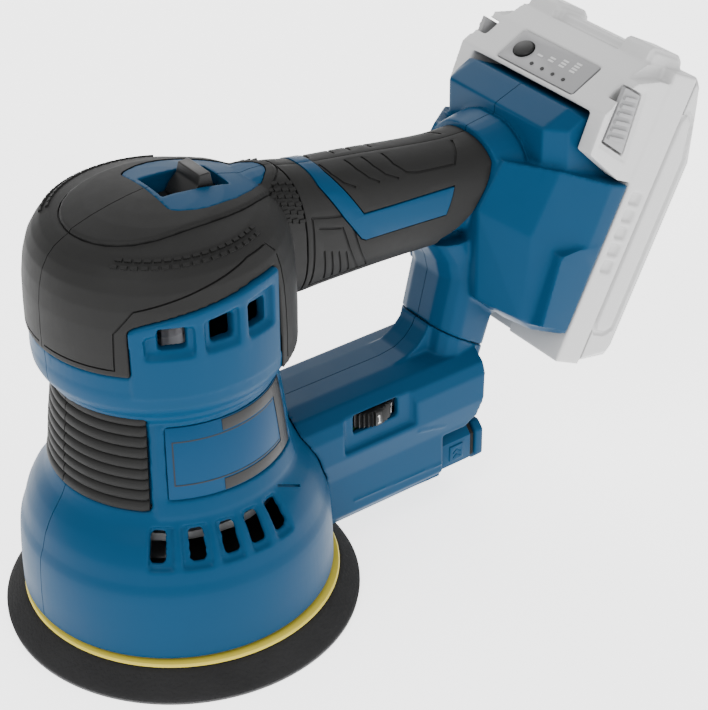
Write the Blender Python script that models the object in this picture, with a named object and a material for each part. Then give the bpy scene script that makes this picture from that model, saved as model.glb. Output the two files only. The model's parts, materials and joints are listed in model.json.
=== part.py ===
"""Cordless random-orbit machine for sanding and polishing, as an assembly of separate pieces.

Sizes are in millimetres and are turned into metres when a mesh is made. The origin is the middle of the pad
face, +Z runs up the spindle, +X runs back along the handle to the battery pack, and -Y is the left side.
"""
import math

import bmesh
import bpy
from mathutils import Vector

MM = 0.001

# fits
GAP = 0.3                   # clearance between two pieces that touch on the real machine
SPLIT = 0.15                # each clamshell half stays this far from the middle plane
WALL = 2.6                  # wall of the main shells

# pad
PAD_RADIUS = 62.5
HOOK_THICKNESS = 1.2
FOAM_TOP = 10.0
PLATE_THICKNESS = 1.7
PLATE_RADIUS = 55.4
BOSS_RADIUS = 15.0
BOSS_TOP = 17.9
ORBIT_OFFSET = 1.25         # half of the 2.5 mm orbit
DUST_HOLES = 8
DUST_HOLE_RADIUS = 4.5
DUST_CIRCLE = 32.5
SCREWS = 4
SCREW_CIRCLE = 9.0
SCREW_RADIUS = 2.0
SCREW_HEAD_RADIUS = 3.4
SCREW_HEAD = 2.2

# drive
HUB_RADIUS = 12.0
HUB_TOP = 31.0
PAD_BEARING_RADIUS = 18.0
CARRIER_RADIUS = 23.5
CARRIER_BOTTOM = 19.8
CARRIER_TOP = 40.0
FAN_RADIUS = 44.0
FAN_BLADES = 10
SHAFT_RADIUS = 4.0
SHAFT_TOP = 119.5
ARMATURE_RADIUS = 18.5
CAN_RADIUS = 23.0
CAN_TOP = 113.0
BEARING_PLATE_BOTTOM = 50.0

# head
HEAD_SIDES = 40
SKIRT_BOTTOM = 13.2
BARREL = [(54.3, SKIRT_BOTTOM), (54.0, 25.0), (53.5, 36.0), (52.9, 40.0), (51.7, 45.0), (49.6, 50.0),
          (46.9, 55.0), (43.3, 60.0), (40.8, 65.0), (40.0, 70.0), (39.0, 80.0), (37.6, 90.0), (36.5, 97.0)]
CAP = [(44.1, 105.6), (44.3, 124.0), (43.8, 135.0), (42.3, 145.0), (39.8, 150.0), (36.5, 153.3),
       (27.6, 156.9), (15.0, 160.0), (5.0, 161.6)]
CAP_PEAK = 161.9
CAP_FRONT_BOTTOM = 118.4
CAP_WALL = 2.0
NECK_LINE = 46.0            # where the head covers end and the handle grips begin
BAND_START, BAND_END = 45.0, 118.0      # degrees round from the front
WINDOWS = [(57.0, 69.5), (80.0, 91.0), (99.0, 109.5)]
WINDOW_LOW, WINDOW_HIGH = 127.5, 136.0
SKIRT_VENTS = [51.5, 67.5, 81.5, 93.5, 105.5]
VENT_ANGLE = 6.5
VENT_LOW, VENT_HIGH = 49.5, 58.5
GRIP_ANGLE = 48.0
GRIP_LOW, GRIP_HIGH = 65.0, 99.5
GRIP_RIBS = 9
LABEL_START, LABEL_END = 57.0, 135.0
LABEL_LOW, LABEL_HIGH = 69.0, 95.0

# handle
HANDLE_SIDES = 16
HANDLE = [(22.0, 154.5, 116.0, 19.0), (36.0, 156.0, 110.5, 18.6), (46.0, 154.6, 108.0, 18.0),
          (57.0, 151.8, 108.0, 17.8), (79.0, 148.3, 107.5, 17.6), (98.0, 145.0, 106.6, 17.6),
          (115.0, 142.5, 105.5, 17.8), (129.0, 142.0, 104.0, 18.4)]
INLAY = [(54.6, 160.0), (60.4, 160.0), (60.6, 150.4), (64.3, 144.5), (69.5, 135.6), (80.7, 134.7),
         (108.2, 132.9), (104.1, 124.0), (69.8, 126.2), (68.2, 127.2), (61.7, 136.9), (55.3, 148.6)]
GRIP_END = [(126.6, 170.0), (126.2, 136.0), (115.5, 120.5), (104.0, 113.0), (103.0, 90.0)]

# switch
WELL_FRONT, WELL_REAR, WELL_HALF = -0.8, 23.6, 7.6
WELL_BOTTOM = 148.6
BEZEL = [(-3.2, 0.0), (-3.2, 13.5), (-1.0, 16.0), (4.0, 18.0), (12.0, 18.2), (20.0, 16.6), (28.0, 13.0),
         (36.0, 7.6), (40.0, 3.6), (41.4, 0.0)]
KNOB_FRONT, KNOB_REAR, KNOB_HALF, KNOB_TOP = 13.2, 17.4, 6.4, 158.6
SWITCH_TRAVEL = 6.5

# lower arm and dust duct
ARM_SIDE = [(13.2, 17.0), (17.5, 20.0), (34.5, 20.0), (43.5, 22.0), (54.0, 21.8), (58.5, 20.0), (62.0, 15.5),
            (63.5, 8.0), (80.0, 7.6)]
ARM_OUTLINE = [(36.0, 10.0), (102.4, 10.0), (102.4, 33.0), (113.0, 33.0), (118.0, 36.0), (120.0, 44.0),
               (121.5, 76.0), (105.6, 76.0), (103.5, 71.0), (100.0, 67.0), (95.0, 64.4), (88.0, 63.5),
               (36.0, 63.5)]
STRUT = [(34.0, 99.0, 117.6), (47.0, 100.0, 122.2), (60.0, 102.8, 126.6), (74.0, 105.8, 131.4),
         (92.0, 110.2, 138.0), (99.0, 108.6, 140.0), (108.0, 103.6, 141.0)]
STRUT_FRONT_HALF, STRUT_HALF, STRUT_REAR_HALF = 6.8, 15.2, 12.0
SEAM_FRONT, SEAM_REAR = (104.0, 74.5), (130.0, 57.0)
PORT_X, PORT_HALF, PORT_Z = (44.0, 62.0), 12.0, (18.0, 30.0)     # where dust leaves the skirt for the arm
DIAL_X, DIAL_Y, DIAL_RADIUS = 72.0, -11.0, 10.8
DIAL_LOW, DIAL_HIGH = 51.6, 57.6
DIAL_RIBS = 36
OUTLET_END = 123.0
OUTLET_HALF, OUTLET_LOW, OUTLET_HIGH = 18.0, 13.4, 29.6
MOUTH_HALF, MOUTH_LOW, MOUTH_HIGH = 14.0, 16.6, 26.6

# battery seat, in its own axes: up the slide and rearwards from its lower rear corner
SEAT_CORNER = (138.5, 73.2)
SEAT_LEAN = math.radians(26.5)
SEAT_FACE = 5.2
SEAT_HEAD_FACE = 5.0        # the upper part stands a little back from the wings
SEAT_HALF, SEAT_TOP_HALF = 39.0, 31.0
WING_TOP, SEAT_TOP = 58.0, 77.4

# battery pack
PACK_FACE = SEAT_FACE + 2 * GAP
PACK_SPLIT = 18.0
PACK_HALF = 39.0
PACK_REAR = 33.6
PACK_WALL = 2.4
CHEEK_GAP = 0.5
RAIL_HALF, RAIL_LOW, RAIL_HIGH, RAIL_TOP = 12.0, 8.0, 36.0, 7.9
CELL_RADIUS, CELL_LENGTH, CELLS = 9.0, 65.0, 5
CELL_PITCH = 18.15
FIRST_CELL = (2.8, 18.8)
BUTTON = [(91.0, -15.2), (89.4, -6.6), (68.4, -3.8), (71.2, -15.2)]
GAUGE_START = (80.3, -20.2)
GAUGE_LEAN = math.atan2(10.2, 13.2)

BLUE = (0.004, 0.135, 0.40)
BLACK = (0.028, 0.028, 0.027)
PALE = (0.62, 0.62, 0.62)
STEEL = (0.55, 0.55, 0.57)


# ---------------------------------------------------------------- making meshes

def material(name, colour, roughness=0.45, metallic=0.0):
    """A plain finish for one piece."""
    finish = bpy.data.materials.new(name)
    finish.use_nodes = True
    shader = finish.node_tree.nodes["Principled BSDF"]
    shader.inputs["Base Color"].default_value = (*colour, 1.0)
    shader.inputs["Roughness"].default_value = roughness
    shader.inputs["Metallic"].default_value = metallic
    return finish


def piece(name, bm, colour, roughness=0.45, metallic=0.0, pivot=(0.0, 0.0, 0.0)):
    """Turn a mesh in millimetres into a named object whose origin is at pivot."""
    bmesh.ops.translate(bm, verts=bm.verts, vec=-Vector(pivot))
    bmesh.ops.scale(bm, verts=bm.verts, vec=(MM, MM, MM))
    bmesh.ops.triangulate(bm, faces=bm.faces)
    bmesh.ops.recalc_face_normals(bm, faces=bm.faces)
    mesh = bpy.data.meshes.new(name)
    bm.to_mesh(mesh)
    bm.free()
    mesh.shade_smooth()
    mesh.set_sharp_from_angle(angle=math.radians(35))
    thing = bpy.data.objects.new(name, mesh)
    thing.location = Vector(pivot) * MM
    bpy.context.collection.objects.link(thing)
    mesh.materials.append(material(name, colour, roughness, metallic))
    return thing


def guide(name, bm):
    """A shape that only joins, cuts or limits other pieces."""
    thing = piece(name, bm, (0.5, 0.5, 0.5))
    thing.hide_render = True
    thing.display_type = "WIRE"
    return thing


def combine(thing, operation, *others):
    """Join, cut or limit a piece with others by exact Booleans."""
    for other in others:
        step = thing.modifiers.new(operation.lower(), "BOOLEAN")
        step.operation = operation
        step.solver = "EXACT"
        step.object = other
    return thing


def loft(bm, rings):
    """Skin rings of equal length one after another, and close both ends."""
    made = [[bm.verts.new(point) for point in ring] for ring in rings]
    count = len(made[0])
    for low, high in zip(made, made[1:]):
        for i in range(count):
            j = (i + 1) % count
            bm.faces.new((low[i], low[j], high[j], high[i]))
    bm.faces.new(made[0][::-1])
    bm.faces.new(made[-1])
    return bm


def prism(outline, low, high, axis="Z"):
    """An outline pushed along an axis: (x, y) along Z, (x, z) along Y, or (y, z) along X."""
    place = {"Z": lambda a, b, c: (a, b, c), "Y": lambda a, b, c: (a, c, b), "X": lambda a, b, c: (c, a, b)}[axis]
    return loft(bmesh.new(), [[place(a, b, level) for a, b in outline] for level in (low, high)])


def box(x, y, z):
    """A block between the given pairs of limits."""
    return prism([(x[0], y[0]), (x[1], y[0]), (x[1], y[1]), (x[0], y[1])], z[0], z[1])


def turned(profile, centre=(0.0, 0.0), steps=HEAD_SIDES):
    """A closed profile of (radius, height) turned round a vertical axis."""
    bm = bmesh.new()
    rings = []
    for radius, height in profile:
        if radius < 1e-6:
            rings.append([bm.verts.new((centre[0], centre[1], height))])
            continue
        angles = [math.tau * i / steps for i in range(steps)]
        rings.append([bm.verts.new((centre[0] + radius * math.cos(a), centre[1] + radius * math.sin(a), height))
                      for a in angles])
    for one, two in zip(rings, rings[1:] + rings[:1]):
        if len(one) == 1 and len(two) == 1:
            continue
        for i in range(steps):
            j = (i + 1) % steps
            corners = [one[i % len(one)], one[j % len(one)], two[j % len(two)], two[i % len(two)]]
            bm.faces.new(list(dict.fromkeys(corners)))
    return bm


def rod(radius, low, high, centre=(0.0, 0.0), steps=24):
    """A plain vertical cylinder."""
    return turned([(0.0, low), (radius, low), (radius, high), (0.0, high)], centre, steps)


def tube(inner, outer, low, high, centre=(0.0, 0.0), steps=32):
    """A plain vertical sleeve."""
    return turned([(inner, low), (outer, low), (outer, high), (inner, high)], centre, steps)


def gather(*parts):
    """Put several separate closed shapes into one mesh."""
    bm = bmesh.new()
    for part in parts:
        mesh = bpy.data.meshes.new("part")
        part.to_mesh(mesh)
        part.free()
        bm.from_mesh(mesh)
        bpy.data.meshes.remove(mesh)
    return bm


def around(angle, radius, height, side=-1):
    """A point at an angle in degrees round from the front of the head, on the left (-1) or right (1)."""
    turn = math.radians(angle)
    return (-radius * math.cos(turn), side * radius * math.sin(turn), height)


def wrap(outline_at, start, end, side=-1, step=10.0):
    """A profile carried part of the way round the head."""
    count = max(1, math.ceil((end - start) / step))
    angles = [start + (end - start) * i / count for i in range(count + 1)]
    return loft(bmesh.new(), [[around(a, r, z, side) for r, z in outline_at(a)] for a in angles])


def barrel_radius(height):
    """Outer radius of the blue barrel at a height."""
    for (r1, z1), (r2, z2) in zip(BARREL, BARREL[1:]):
        if z1 <= height <= z2:
            return r1 + (r2 - r1) * (height - z1) / (z2 - z1)
    return BARREL[-1][0]


def seat_point(up, back):
    """The (x, z) place of a point given along the battery slide and rearwards from the seat's corner."""
    return (SEAT_CORNER[0] + up * math.sin(SEAT_LEAN) + back * math.cos(SEAT_LEAN),
            SEAT_CORNER[1] + up * math.cos(SEAT_LEAN) - back * math.sin(SEAT_LEAN))


def seat_prism(outline, low, high):
    """An outline in the seat's axes, pushed across the machine."""
    return prism([seat_point(up, back) for up, back in outline], low, high, "Y")


def halves(name, whole, colour, roughness=0.45):
    """Split a whole moulding into its left and right pieces."""
    for side, limits in (("left", (-90.0, -SPLIT)), ("right", (SPLIT, 90.0))):
        half = piece(f"{name}_{side}", box((-90.0, 230.0), limits, (-5.0, 200.0)), colour, roughness)
        combine(half, "INTERSECT", whole)


# ---------------------------------------------------------------- pad and drive

def pad_hole_cutter():
    """The dust holes and screw holes that run through the soft layers."""
    holes = []
    for count, circle, radius in ((DUST_HOLES, DUST_CIRCLE, DUST_HOLE_RADIUS),
                                  (SCREWS, SCREW_CIRCLE, SCREW_HEAD_RADIUS + GAP)):
        for i in range(count):
            angle = math.tau * (i + 0.5) / count
            centre = (ORBIT_OFFSET + circle * math.cos(angle), circle * math.sin(angle))
            holes.append(rod(radius, -2.0, FOAM_TOP + 1.0, centre, 12))
    return guide("pad_hole_cutter", gather(*holes))


def plate_hole_cutter():
    """The holes through the backing plate and into the hub."""
    holes = []
    for i in range(DUST_HOLES):
        angle = math.tau * (i + 0.5) / DUST_HOLES
        centre = (ORBIT_OFFSET + DUST_CIRCLE * math.cos(angle), DUST_CIRCLE * math.sin(angle))
        holes.append(rod(DUST_HOLE_RADIUS, FOAM_TOP - 1.0, BOSS_TOP + 2.0, centre, 12))
    for x, y in screw_places():
        holes.append(rod(SCREW_RADIUS + GAP, FOAM_TOP - 1.0, HUB_TOP - 4.0, (x, y), 12))
    return guide("plate_hole_cutter", gather(*holes))


def screw_places():
    """Where the pad screws stand."""
    angles = [math.tau * (i + 0.5) / SCREWS for i in range(SCREWS)]
    return [(ORBIT_OFFSET + SCREW_CIRCLE * math.cos(a), SCREW_CIRCLE * math.sin(a)) for a in angles]


def make_pad():
    """Hook face, foam, backing plate, hub and screws, all turning about the offset axis."""
    axis = (ORBIT_OFFSET, 0.0)
    pivot = (ORBIT_OFFSET, 0.0, 0.0)
    soft_holes = pad_hole_cutter()
    hard_holes = plate_hole_cutter()
    foam_low = HOOK_THICKNESS + GAP
    plate_low = FOAM_TOP + GAP
    plate_top = plate_low + PLATE_THICKNESS
    hook = piece("hook_disc", rod(PAD_RADIUS - 0.3, 0.0, HOOK_THICKNESS, axis, 48), (0.05, 0.05, 0.05), 0.95,
                 pivot=pivot)
    combine(hook, "DIFFERENCE", soft_holes)
    foam = piece("foam_pad", turned([(0.0, foam_low), (PAD_RADIUS, foam_low), (PAD_RADIUS - 0.3, foam_low + 1.6),
                                     (PLATE_RADIUS + 0.5, FOAM_TOP), (0.0, FOAM_TOP)], axis, 48),
                 (0.03, 0.03, 0.03), 0.9, pivot=pivot)
    combine(foam, "DIFFERENCE", soft_holes)
    plate = piece("backing_plate", turned([(0.0, plate_low), (PLATE_RADIUS, plate_low),
                                           (PLATE_RADIUS - 0.6, plate_top - 0.6), (PLATE_RADIUS - 1.8, plate_top),
                                           (BOSS_RADIUS + 3.0, plate_top), (BOSS_RADIUS, BOSS_TOP),
                                           (0.0, BOSS_TOP)], axis, 48), (0.75, 0.62, 0.16), 0.5, pivot=pivot)
    combine(plate, "DIFFERENCE", hard_holes)
    hub = piece("pad_hub", rod(HUB_RADIUS, BOSS_TOP + GAP, HUB_TOP, axis, 32), STEEL, 0.3, 1.0, pivot)
    combine(hub, "DIFFERENCE", hard_holes)
    for i, place in enumerate(screw_places(), 1):
        head = FOAM_TOP - SCREW_HEAD
        shape = turned([(0.0, head), (SCREW_HEAD_RADIUS, head), (SCREW_HEAD_RADIUS, FOAM_TOP),
                        (SCREW_RADIUS, FOAM_TOP), (SCREW_RADIUS, HUB_TOP - 6.0), (0.0, HUB_TOP - 6.0)], place, 12)
        piece(f"pad_screw_{i}", shape, STEEL, 0.3, 1.0, pivot)


def make_rotor():
    """Shaft and armature, eccentric carrier, fan, counterweight and pad bearing."""
    piece("armature", turned([(0.0, CARRIER_TOP - 7.0), (SHAFT_RADIUS, CARRIER_TOP - 7.0), (SHAFT_RADIUS, 64.0),
                              (ARMATURE_RADIUS, 64.0), (ARMATURE_RADIUS, 104.0), (8.0, 104.0), (8.0, 109.0),
                              (SHAFT_RADIUS, 109.0), (SHAFT_RADIUS, SHAFT_TOP), (0.0, SHAFT_TOP)], steps=24),
          STEEL, 0.35, 1.0)
    axis = (ORBIT_OFFSET, 0.0)
    carrier = piece("eccentric_carrier", rod(CARRIER_RADIUS, CARRIER_BOTTOM, CARRIER_TOP, steps=32), STEEL, 0.4, 1.0)
    bore = guide("carrier_bore", rod(PAD_BEARING_RADIUS + GAP, CARRIER_BOTTOM - 2.0, HUB_TOP + 1.3, axis, 32))
    hole = guide("carrier_shaft_hole", rod(SHAFT_RADIUS + GAP, HUB_TOP, CARRIER_TOP + 2.0, steps=24))
    combine(bore, "UNION", hole)
    combine(carrier, "DIFFERENCE", bore)
    piece("pad_bearing", tube(HUB_RADIUS + GAP, PAD_BEARING_RADIUS, CARRIER_BOTTOM + 0.4, HUB_TOP, axis, 32),
          STEEL, 0.25, 1.0)
    fan = piece("fan", tube(CARRIER_RADIUS + GAP, FAN_RADIUS, CARRIER_TOP - 2.4, CARRIER_TOP), BLACK)
    blades = []
    for i in range(FAN_BLADES):
        blade = box((28.0, FAN_RADIUS - 0.5), (-0.9, 0.9), (CARRIER_TOP - 14.0, CARRIER_TOP - 1.2))
        turn = math.tau * i / FAN_BLADES
        spin = [(v, (v.co.x * math.cos(turn) - v.co.y * math.sin(turn),
                     v.co.x * math.sin(turn) + v.co.y * math.cos(turn), v.co.z)) for v in blade.verts]
        for vert, place in spin:
            vert.co = place
        blades.append(blade)
    combine(fan, "UNION", guide("fan_blades", gather(*blades)))
    piece("counterweight", wrap(lambda a: [(27.0, CARRIER_TOP + GAP), (41.0, CARRIER_TOP + GAP),
                                           (41.0, CARRIER_TOP + 6.0), (27.0, CARRIER_TOP + 6.0)], -55.0, 55.0),
          STEEL, 0.4, 1.0)


def make_motor():
    """The parts of the motor that stand still."""
    piece("motor_can", turned([(CAN_RADIUS - 3.0, 60.0), (CAN_RADIUS, 60.0), (CAN_RADIUS, CAN_TOP),
                               (12.0, CAN_TOP), (12.0, CAN_TOP + 7.0), (9.8, CAN_TOP + 7.0), (9.8, CAN_TOP - 2.5),
                               (CAN_RADIUS - 3.0, CAN_TOP - 2.5)], steps=32), STEEL, 0.35, 1.0)
    piece("upper_bearing", tube(SHAFT_RADIUS + GAP, 9.5, CAN_TOP, CAN_TOP + 6.0, steps=24), STEEL, 0.25, 1.0)
    low = BEARING_PLATE_BOTTOM
    piece("bearing_plate", turned([(12.4, low), (37.0, low), (37.0, low + 3.0), (24.0, low + 3.0),
                                   (24.0, low + 8.0), (12.4, low + 8.0)], steps=32), STEEL, 0.5, 1.0)
    piece("lower_bearing", tube(SHAFT_RADIUS + GAP, 12.1, low + 0.5, low + 7.5, steps=24), STEEL, 0.25, 1.0)
    piece("brake_ring", tube(47.5, BARREL[0][0] - WALL - 2 * GAP, SKIRT_BOTTOM - 0.8, SKIRT_BOTTOM + 4.0,
                             steps=48), BLACK, 0.8)


# ---------------------------------------------------------------- housings

def handle_ring(x, top, bottom, half, inset):
    """A rounded section of the handle."""
    middle, tall, wide = (top + bottom) / 2, (top - bottom) / 2 - inset, half - inset
    ring = []
    for i in range(HANDLE_SIDES):
        turn = math.tau * (i + 0.5) / HANDLE_SIDES
        c, s = math.cos(turn), math.sin(turn)
        ring.append((x, wide * math.copysign(abs(c) ** 0.82, c), middle + tall * math.copysign(abs(s) ** 0.82, s)))
    return ring


def handle_solid(inset, rear=0.0):
    """The handle from inside the head to inside the seat, drawn in by inset all round."""
    rings = [handle_ring(*station, inset) for station in HANDLE]
    if rear:
        last = HANDLE[-1]
        rings.append(handle_ring(last[0] + rear, last[1] - 2.0, last[2], last[3], inset))
    return loft(bmesh.new(), rings)


def cap_solid(name, inset, bottom, rear=0.0):
    """The rounded top of the head together with the handle, drawn in by inset."""
    profile = [(0.0, bottom), (CAP[0][0] - inset, bottom)]
    profile += [(r - inset, z - inset * (0.2 if r > 40.0 else 1.0)) for r, z in CAP[1:]]
    profile.append((0.0, CAP_PEAK - inset))
    return combine(guide(name, turned(profile)), "UNION", guide(name + "_handle", handle_solid(inset, rear)))


def band_top(angle):
    """Upper edge of the vent band, which rises towards the rear."""
    return 134.5 + 9.0 * min(1.0, (angle - BAND_START) / 58.0) ** 0.6


def strut_ring(level, front, rear, inset):
    """A section of the strut between the arm and the seat."""
    front, rear = front + inset, rear - inset
    flat, half, back = STRUT_FRONT_HALF, STRUT_HALF - inset, STRUT_REAR_HALF - inset * 0.8
    flat -= inset * 0.5
    right = [(front, flat), (front + 4.6, half - 1.6), (front + 9.0, half), (rear - 3.0, half - 1.0), (rear, back)]
    return [(x, y, level) for x, y in right] + [(x, -y, level) for x, y in right[::-1]]


def strut_solid(name, inset, low=None, high=None):
    """The strut, drawn in by inset, with its ends moved when asked."""
    rows = [list(row) for row in STRUT]
    if low is not None:
        rows[0][0] = low
    if high is not None:
        rows[-1][0] = high
    return guide(name, loft(bmesh.new(), [strut_ring(*row, inset) for row in rows]))


def seat_wings(inset):
    """The wide part of the battery seat, as sections across the machine."""
    face, top, low = SEAT_FACE, WING_TOP - inset, inset
    p = seat_point
    inner = [(117.0 + inset, 86.0), (117.0 + inset, 121.5), (128.0, 137.5 - inset), p(top, face), p(low, face),
             (139.0, 72.6 + inset), (131.0, 72.6 + inset)]
    middle = [(126.5 + inset, 80.0), (130.5 + inset, 112.0), (143.0 + inset, 134.0 - inset), p(top, face),
              p(low, face), (139.0, 73.0 + inset), (133.0, 73.0 + inset)]
    outer = [p(2.5 + low, -1.5), p(28.0, -2.0), p(top - 1.0, -3.0), p(top, face), p(low, face),
             p(low, face - 1.5), p(low, face - 3.0)]
    rows = [(-SEAT_HALF + inset, outer), (-32.0 + inset, middle), (-19.0 + inset, inner)]
    rows += [(-y, section) for y, section in rows[::-1]]
    return loft(bmesh.new(), [[(x, y, z) for x, z in section] for y, section in rows])


def seat_head(inset):
    """The narrower upper part of the seat that reaches up between the cheeks of the pack."""
    p = seat_point
    inner = [(139.6 + inset, 100.0), (139.6 + inset, 148.6 - inset), (151.3, 152.8 - inset),
             p(SEAT_TOP - inset, SEAT_HEAD_FACE), p(20.0, SEAT_HEAD_FACE)]
    outer = [(147.0 + inset, 104.0), (147.0 + inset, 147.6 - inset), (153.5, 150.6 - inset),
             p(SEAT_TOP - inset - 1.5, SEAT_HEAD_FACE), p(22.0, SEAT_HEAD_FACE)]
    rows = [(-SEAT_TOP_HALF + inset, outer), (-25.5 + inset, inner)]
    rows += [(-y, section) for y, section in rows[::-1]]
    return loft(bmesh.new(), [[(x, y, z) for x, z in section] for y, section in rows])


def above_seam_outline(shift):
    """The part of the side view above the oblique seam across the strut, moved up by shift."""
    front, rear = ((x, z + shift) for x, z in (SEAM_FRONT, SEAM_REAR))
    return [(80.0, 90.0), front, rear, (134.0, 40.0), (260.0, 40.0), (260.0, 200.0)]


def barrel_cutters():
    """Recesses for the front grips and the side plates, and the vents through the skirt and the band."""
    cutters = []
    for side in (-1, 1):
        for start, end, low, high, depth in ((0.0, GRIP_ANGLE + 0.6, GRIP_LOW - GAP, GRIP_HIGH + GAP, 2.0),
                                             (LABEL_START - 0.5, LABEL_END + 0.5, LABEL_LOW - GAP,
                                              LABEL_HIGH + GAP, 0.9)):
            first = -3.0 if start == 0.0 else start
            cutters.append(wrap(lambda a: [(barrel_radius(low) - depth, low), (60.0, low), (60.0, high),
                                           (barrel_radius(high) - depth, high)], first, end, side))
    recesses = [guide(f"barrel_recess_{i}", cutter) for i, cutter in enumerate(cutters)]
    vents = []
    for side in (-1, 1):
        for middle in SKIRT_VENTS:
            vents.append(wrap(lambda a: [(36.0, VENT_LOW), (64.0, VENT_LOW), (64.0, VENT_HIGH), (36.0, VENT_HIGH)],
                              middle - VENT_ANGLE / 2, middle + VENT_ANGLE / 2, side))
        for start, end in WINDOWS:
            vents.append(wrap(lambda a: [(30.0, WINDOW_LOW), (60.0, WINDOW_LOW), (60.0, WINDOW_HIGH),
                                         (30.0, WINDOW_HIGH)], start, end, side))
    return recesses, guide("vent_cutter", gather(*vents))


def make_housings():
    """The two big halves that hold the motor, the handle core and the battery seat."""
    inset = CAP_WALL + GAP
    low_profile = [(0.0, SKIRT_BOTTOM)] + BARREL + [(CAP[0][0] - inset, CAP[0][1] - GAP)]
    low_profile += [(CAP[0][0] - inset, 112.0), (0.0, 112.0)]
    whole = guide("housing_whole", turned(low_profile))
    combine(whole, "UNION", cap_solid("housing_cap", inset, CAP[0][1] + 1.0, rear=12.0))
    lip = [(36.0, 98.5), (43.2, 109.5), (43.5, CAP_FRONT_BOTTOM - GAP), (38.0, CAP_FRONT_BOTTOM - GAP)]
    combine(whole, "UNION", guide("front_lip", wrap(lambda a: lip, -BAND_END + 0.4, BAND_END - 0.4)))
    for side, word in ((-1, "left"), (1, "right")):
        band = wrap(lambda a: [(40.2, 111.5), (44.0, 111.5), (44.2, band_top(a)), (40.2, band_top(a))],
                    BAND_START + 0.4, BAND_END - 0.8, side)
        combine(whole, "UNION", guide(f"vent_band_{word}", band))
    combine(whole, "UNION", strut_solid("strut_upper", 0.0), guide("seat_wings", seat_wings(0.0)),
            guide("seat_head", seat_head(0.0)))
    cavity = [(0.0, SKIRT_BOTTOM - 3.0)] + [(r - WALL, z) for r, z in BARREL[:8]]
    cavity[1] = (BARREL[0][0] - WALL, SKIRT_BOTTOM - 3.0)
    cavity += [(36.2, 65.0), (35.2, 70.0), (33.8, 97.0), (33.9, 101.0), (38.6, 111.5), (38.8, 124.0),
               (37.0, 144.0), (33.5, 148.2), (25.0, 151.6), (14.0, 154.6), (0.0, 156.4)]
    combine(whole, "DIFFERENCE", guide("head_cavity", turned(cavity)))
    combine(whole, "DIFFERENCE", guide("handle_cavity", handle_solid(inset + WALL, rear=14.0)))
    combine(whole, "DIFFERENCE", strut_solid("strut_cavity", WALL, high=106.0),
            guide("wing_cavity", seat_wings_cavity()), guide("seat_head_cavity", seat_head_cavity()))
    recesses, vents = barrel_cutters()
    combine(whole, "DIFFERENCE", *recesses)
    combine(whole, "DIFFERENCE", vents)
    combine(whole, "DIFFERENCE", guide("switch_opening", box((WELL_FRONT - 3.0, WELL_REAR + 3.0),
                                                             (-WELL_HALF - 2.4, WELL_HALF + 2.4), (145.0, 170.0))))
    rail_hole = seat_prism([(RAIL_LOW - GAP, 3.0), (RAIL_HIGH + 12.0, 3.0), (RAIL_HIGH + 12.0, 9.0),
                            (RAIL_LOW - GAP, 9.0)], -RAIL_HALF - GAP, RAIL_HALF + GAP)
    combine(whole, "DIFFERENCE", guide("rail_recess", rail_hole))
    combine(whole, "DIFFERENCE", guide("duct_port", box(PORT_X, (-PORT_HALF, PORT_HALF), PORT_Z)))
    kept = [(-90.0, 0.0), (80.0, 0.0)] + above_seam_outline(GAP) + [(-90.0, 200.0)]
    combine(whole, "INTERSECT", guide("above_seam", prism(kept, -60.0, 60.0, "Y")))
    halves("housing", whole, BLUE)


def seat_wings_cavity():
    """The hollow inside the seat's wide part."""
    p = seat_point
    depth = 2.2
    inner = [(120.5, 90.0), (120.5, 121.5), (130.0, 133.5), p(WING_TOP - WALL, depth), p(WALL, depth),
             (139.0, 76.0), (131.0, 76.0)]
    outer = [(132.0, 84.0), (136.0, 110.0), (147.0, 130.0), p(WING_TOP - WALL, depth), p(WALL, depth),
             p(WALL, depth - 1.5), p(WALL, depth - 3.0)]
    rows = [(-32.5, outer), (-19.0 + WALL, inner)]
    rows += [(-y, section) for y, section in rows[::-1]]
    return loft(bmesh.new(), [[(x, y, z) for x, z in section] for y, section in rows])


def seat_head_cavity():
    """The hollow inside the seat's upper part."""
    p = seat_point
    depth = 1.9
    outline = [(142.6, 100.0), (142.6, 146.2), (151.8, 149.4), p(SEAT_TOP - WALL, depth), p(20.0, depth)]
    return prism(outline, -23.0, 23.0, "Y")


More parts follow.
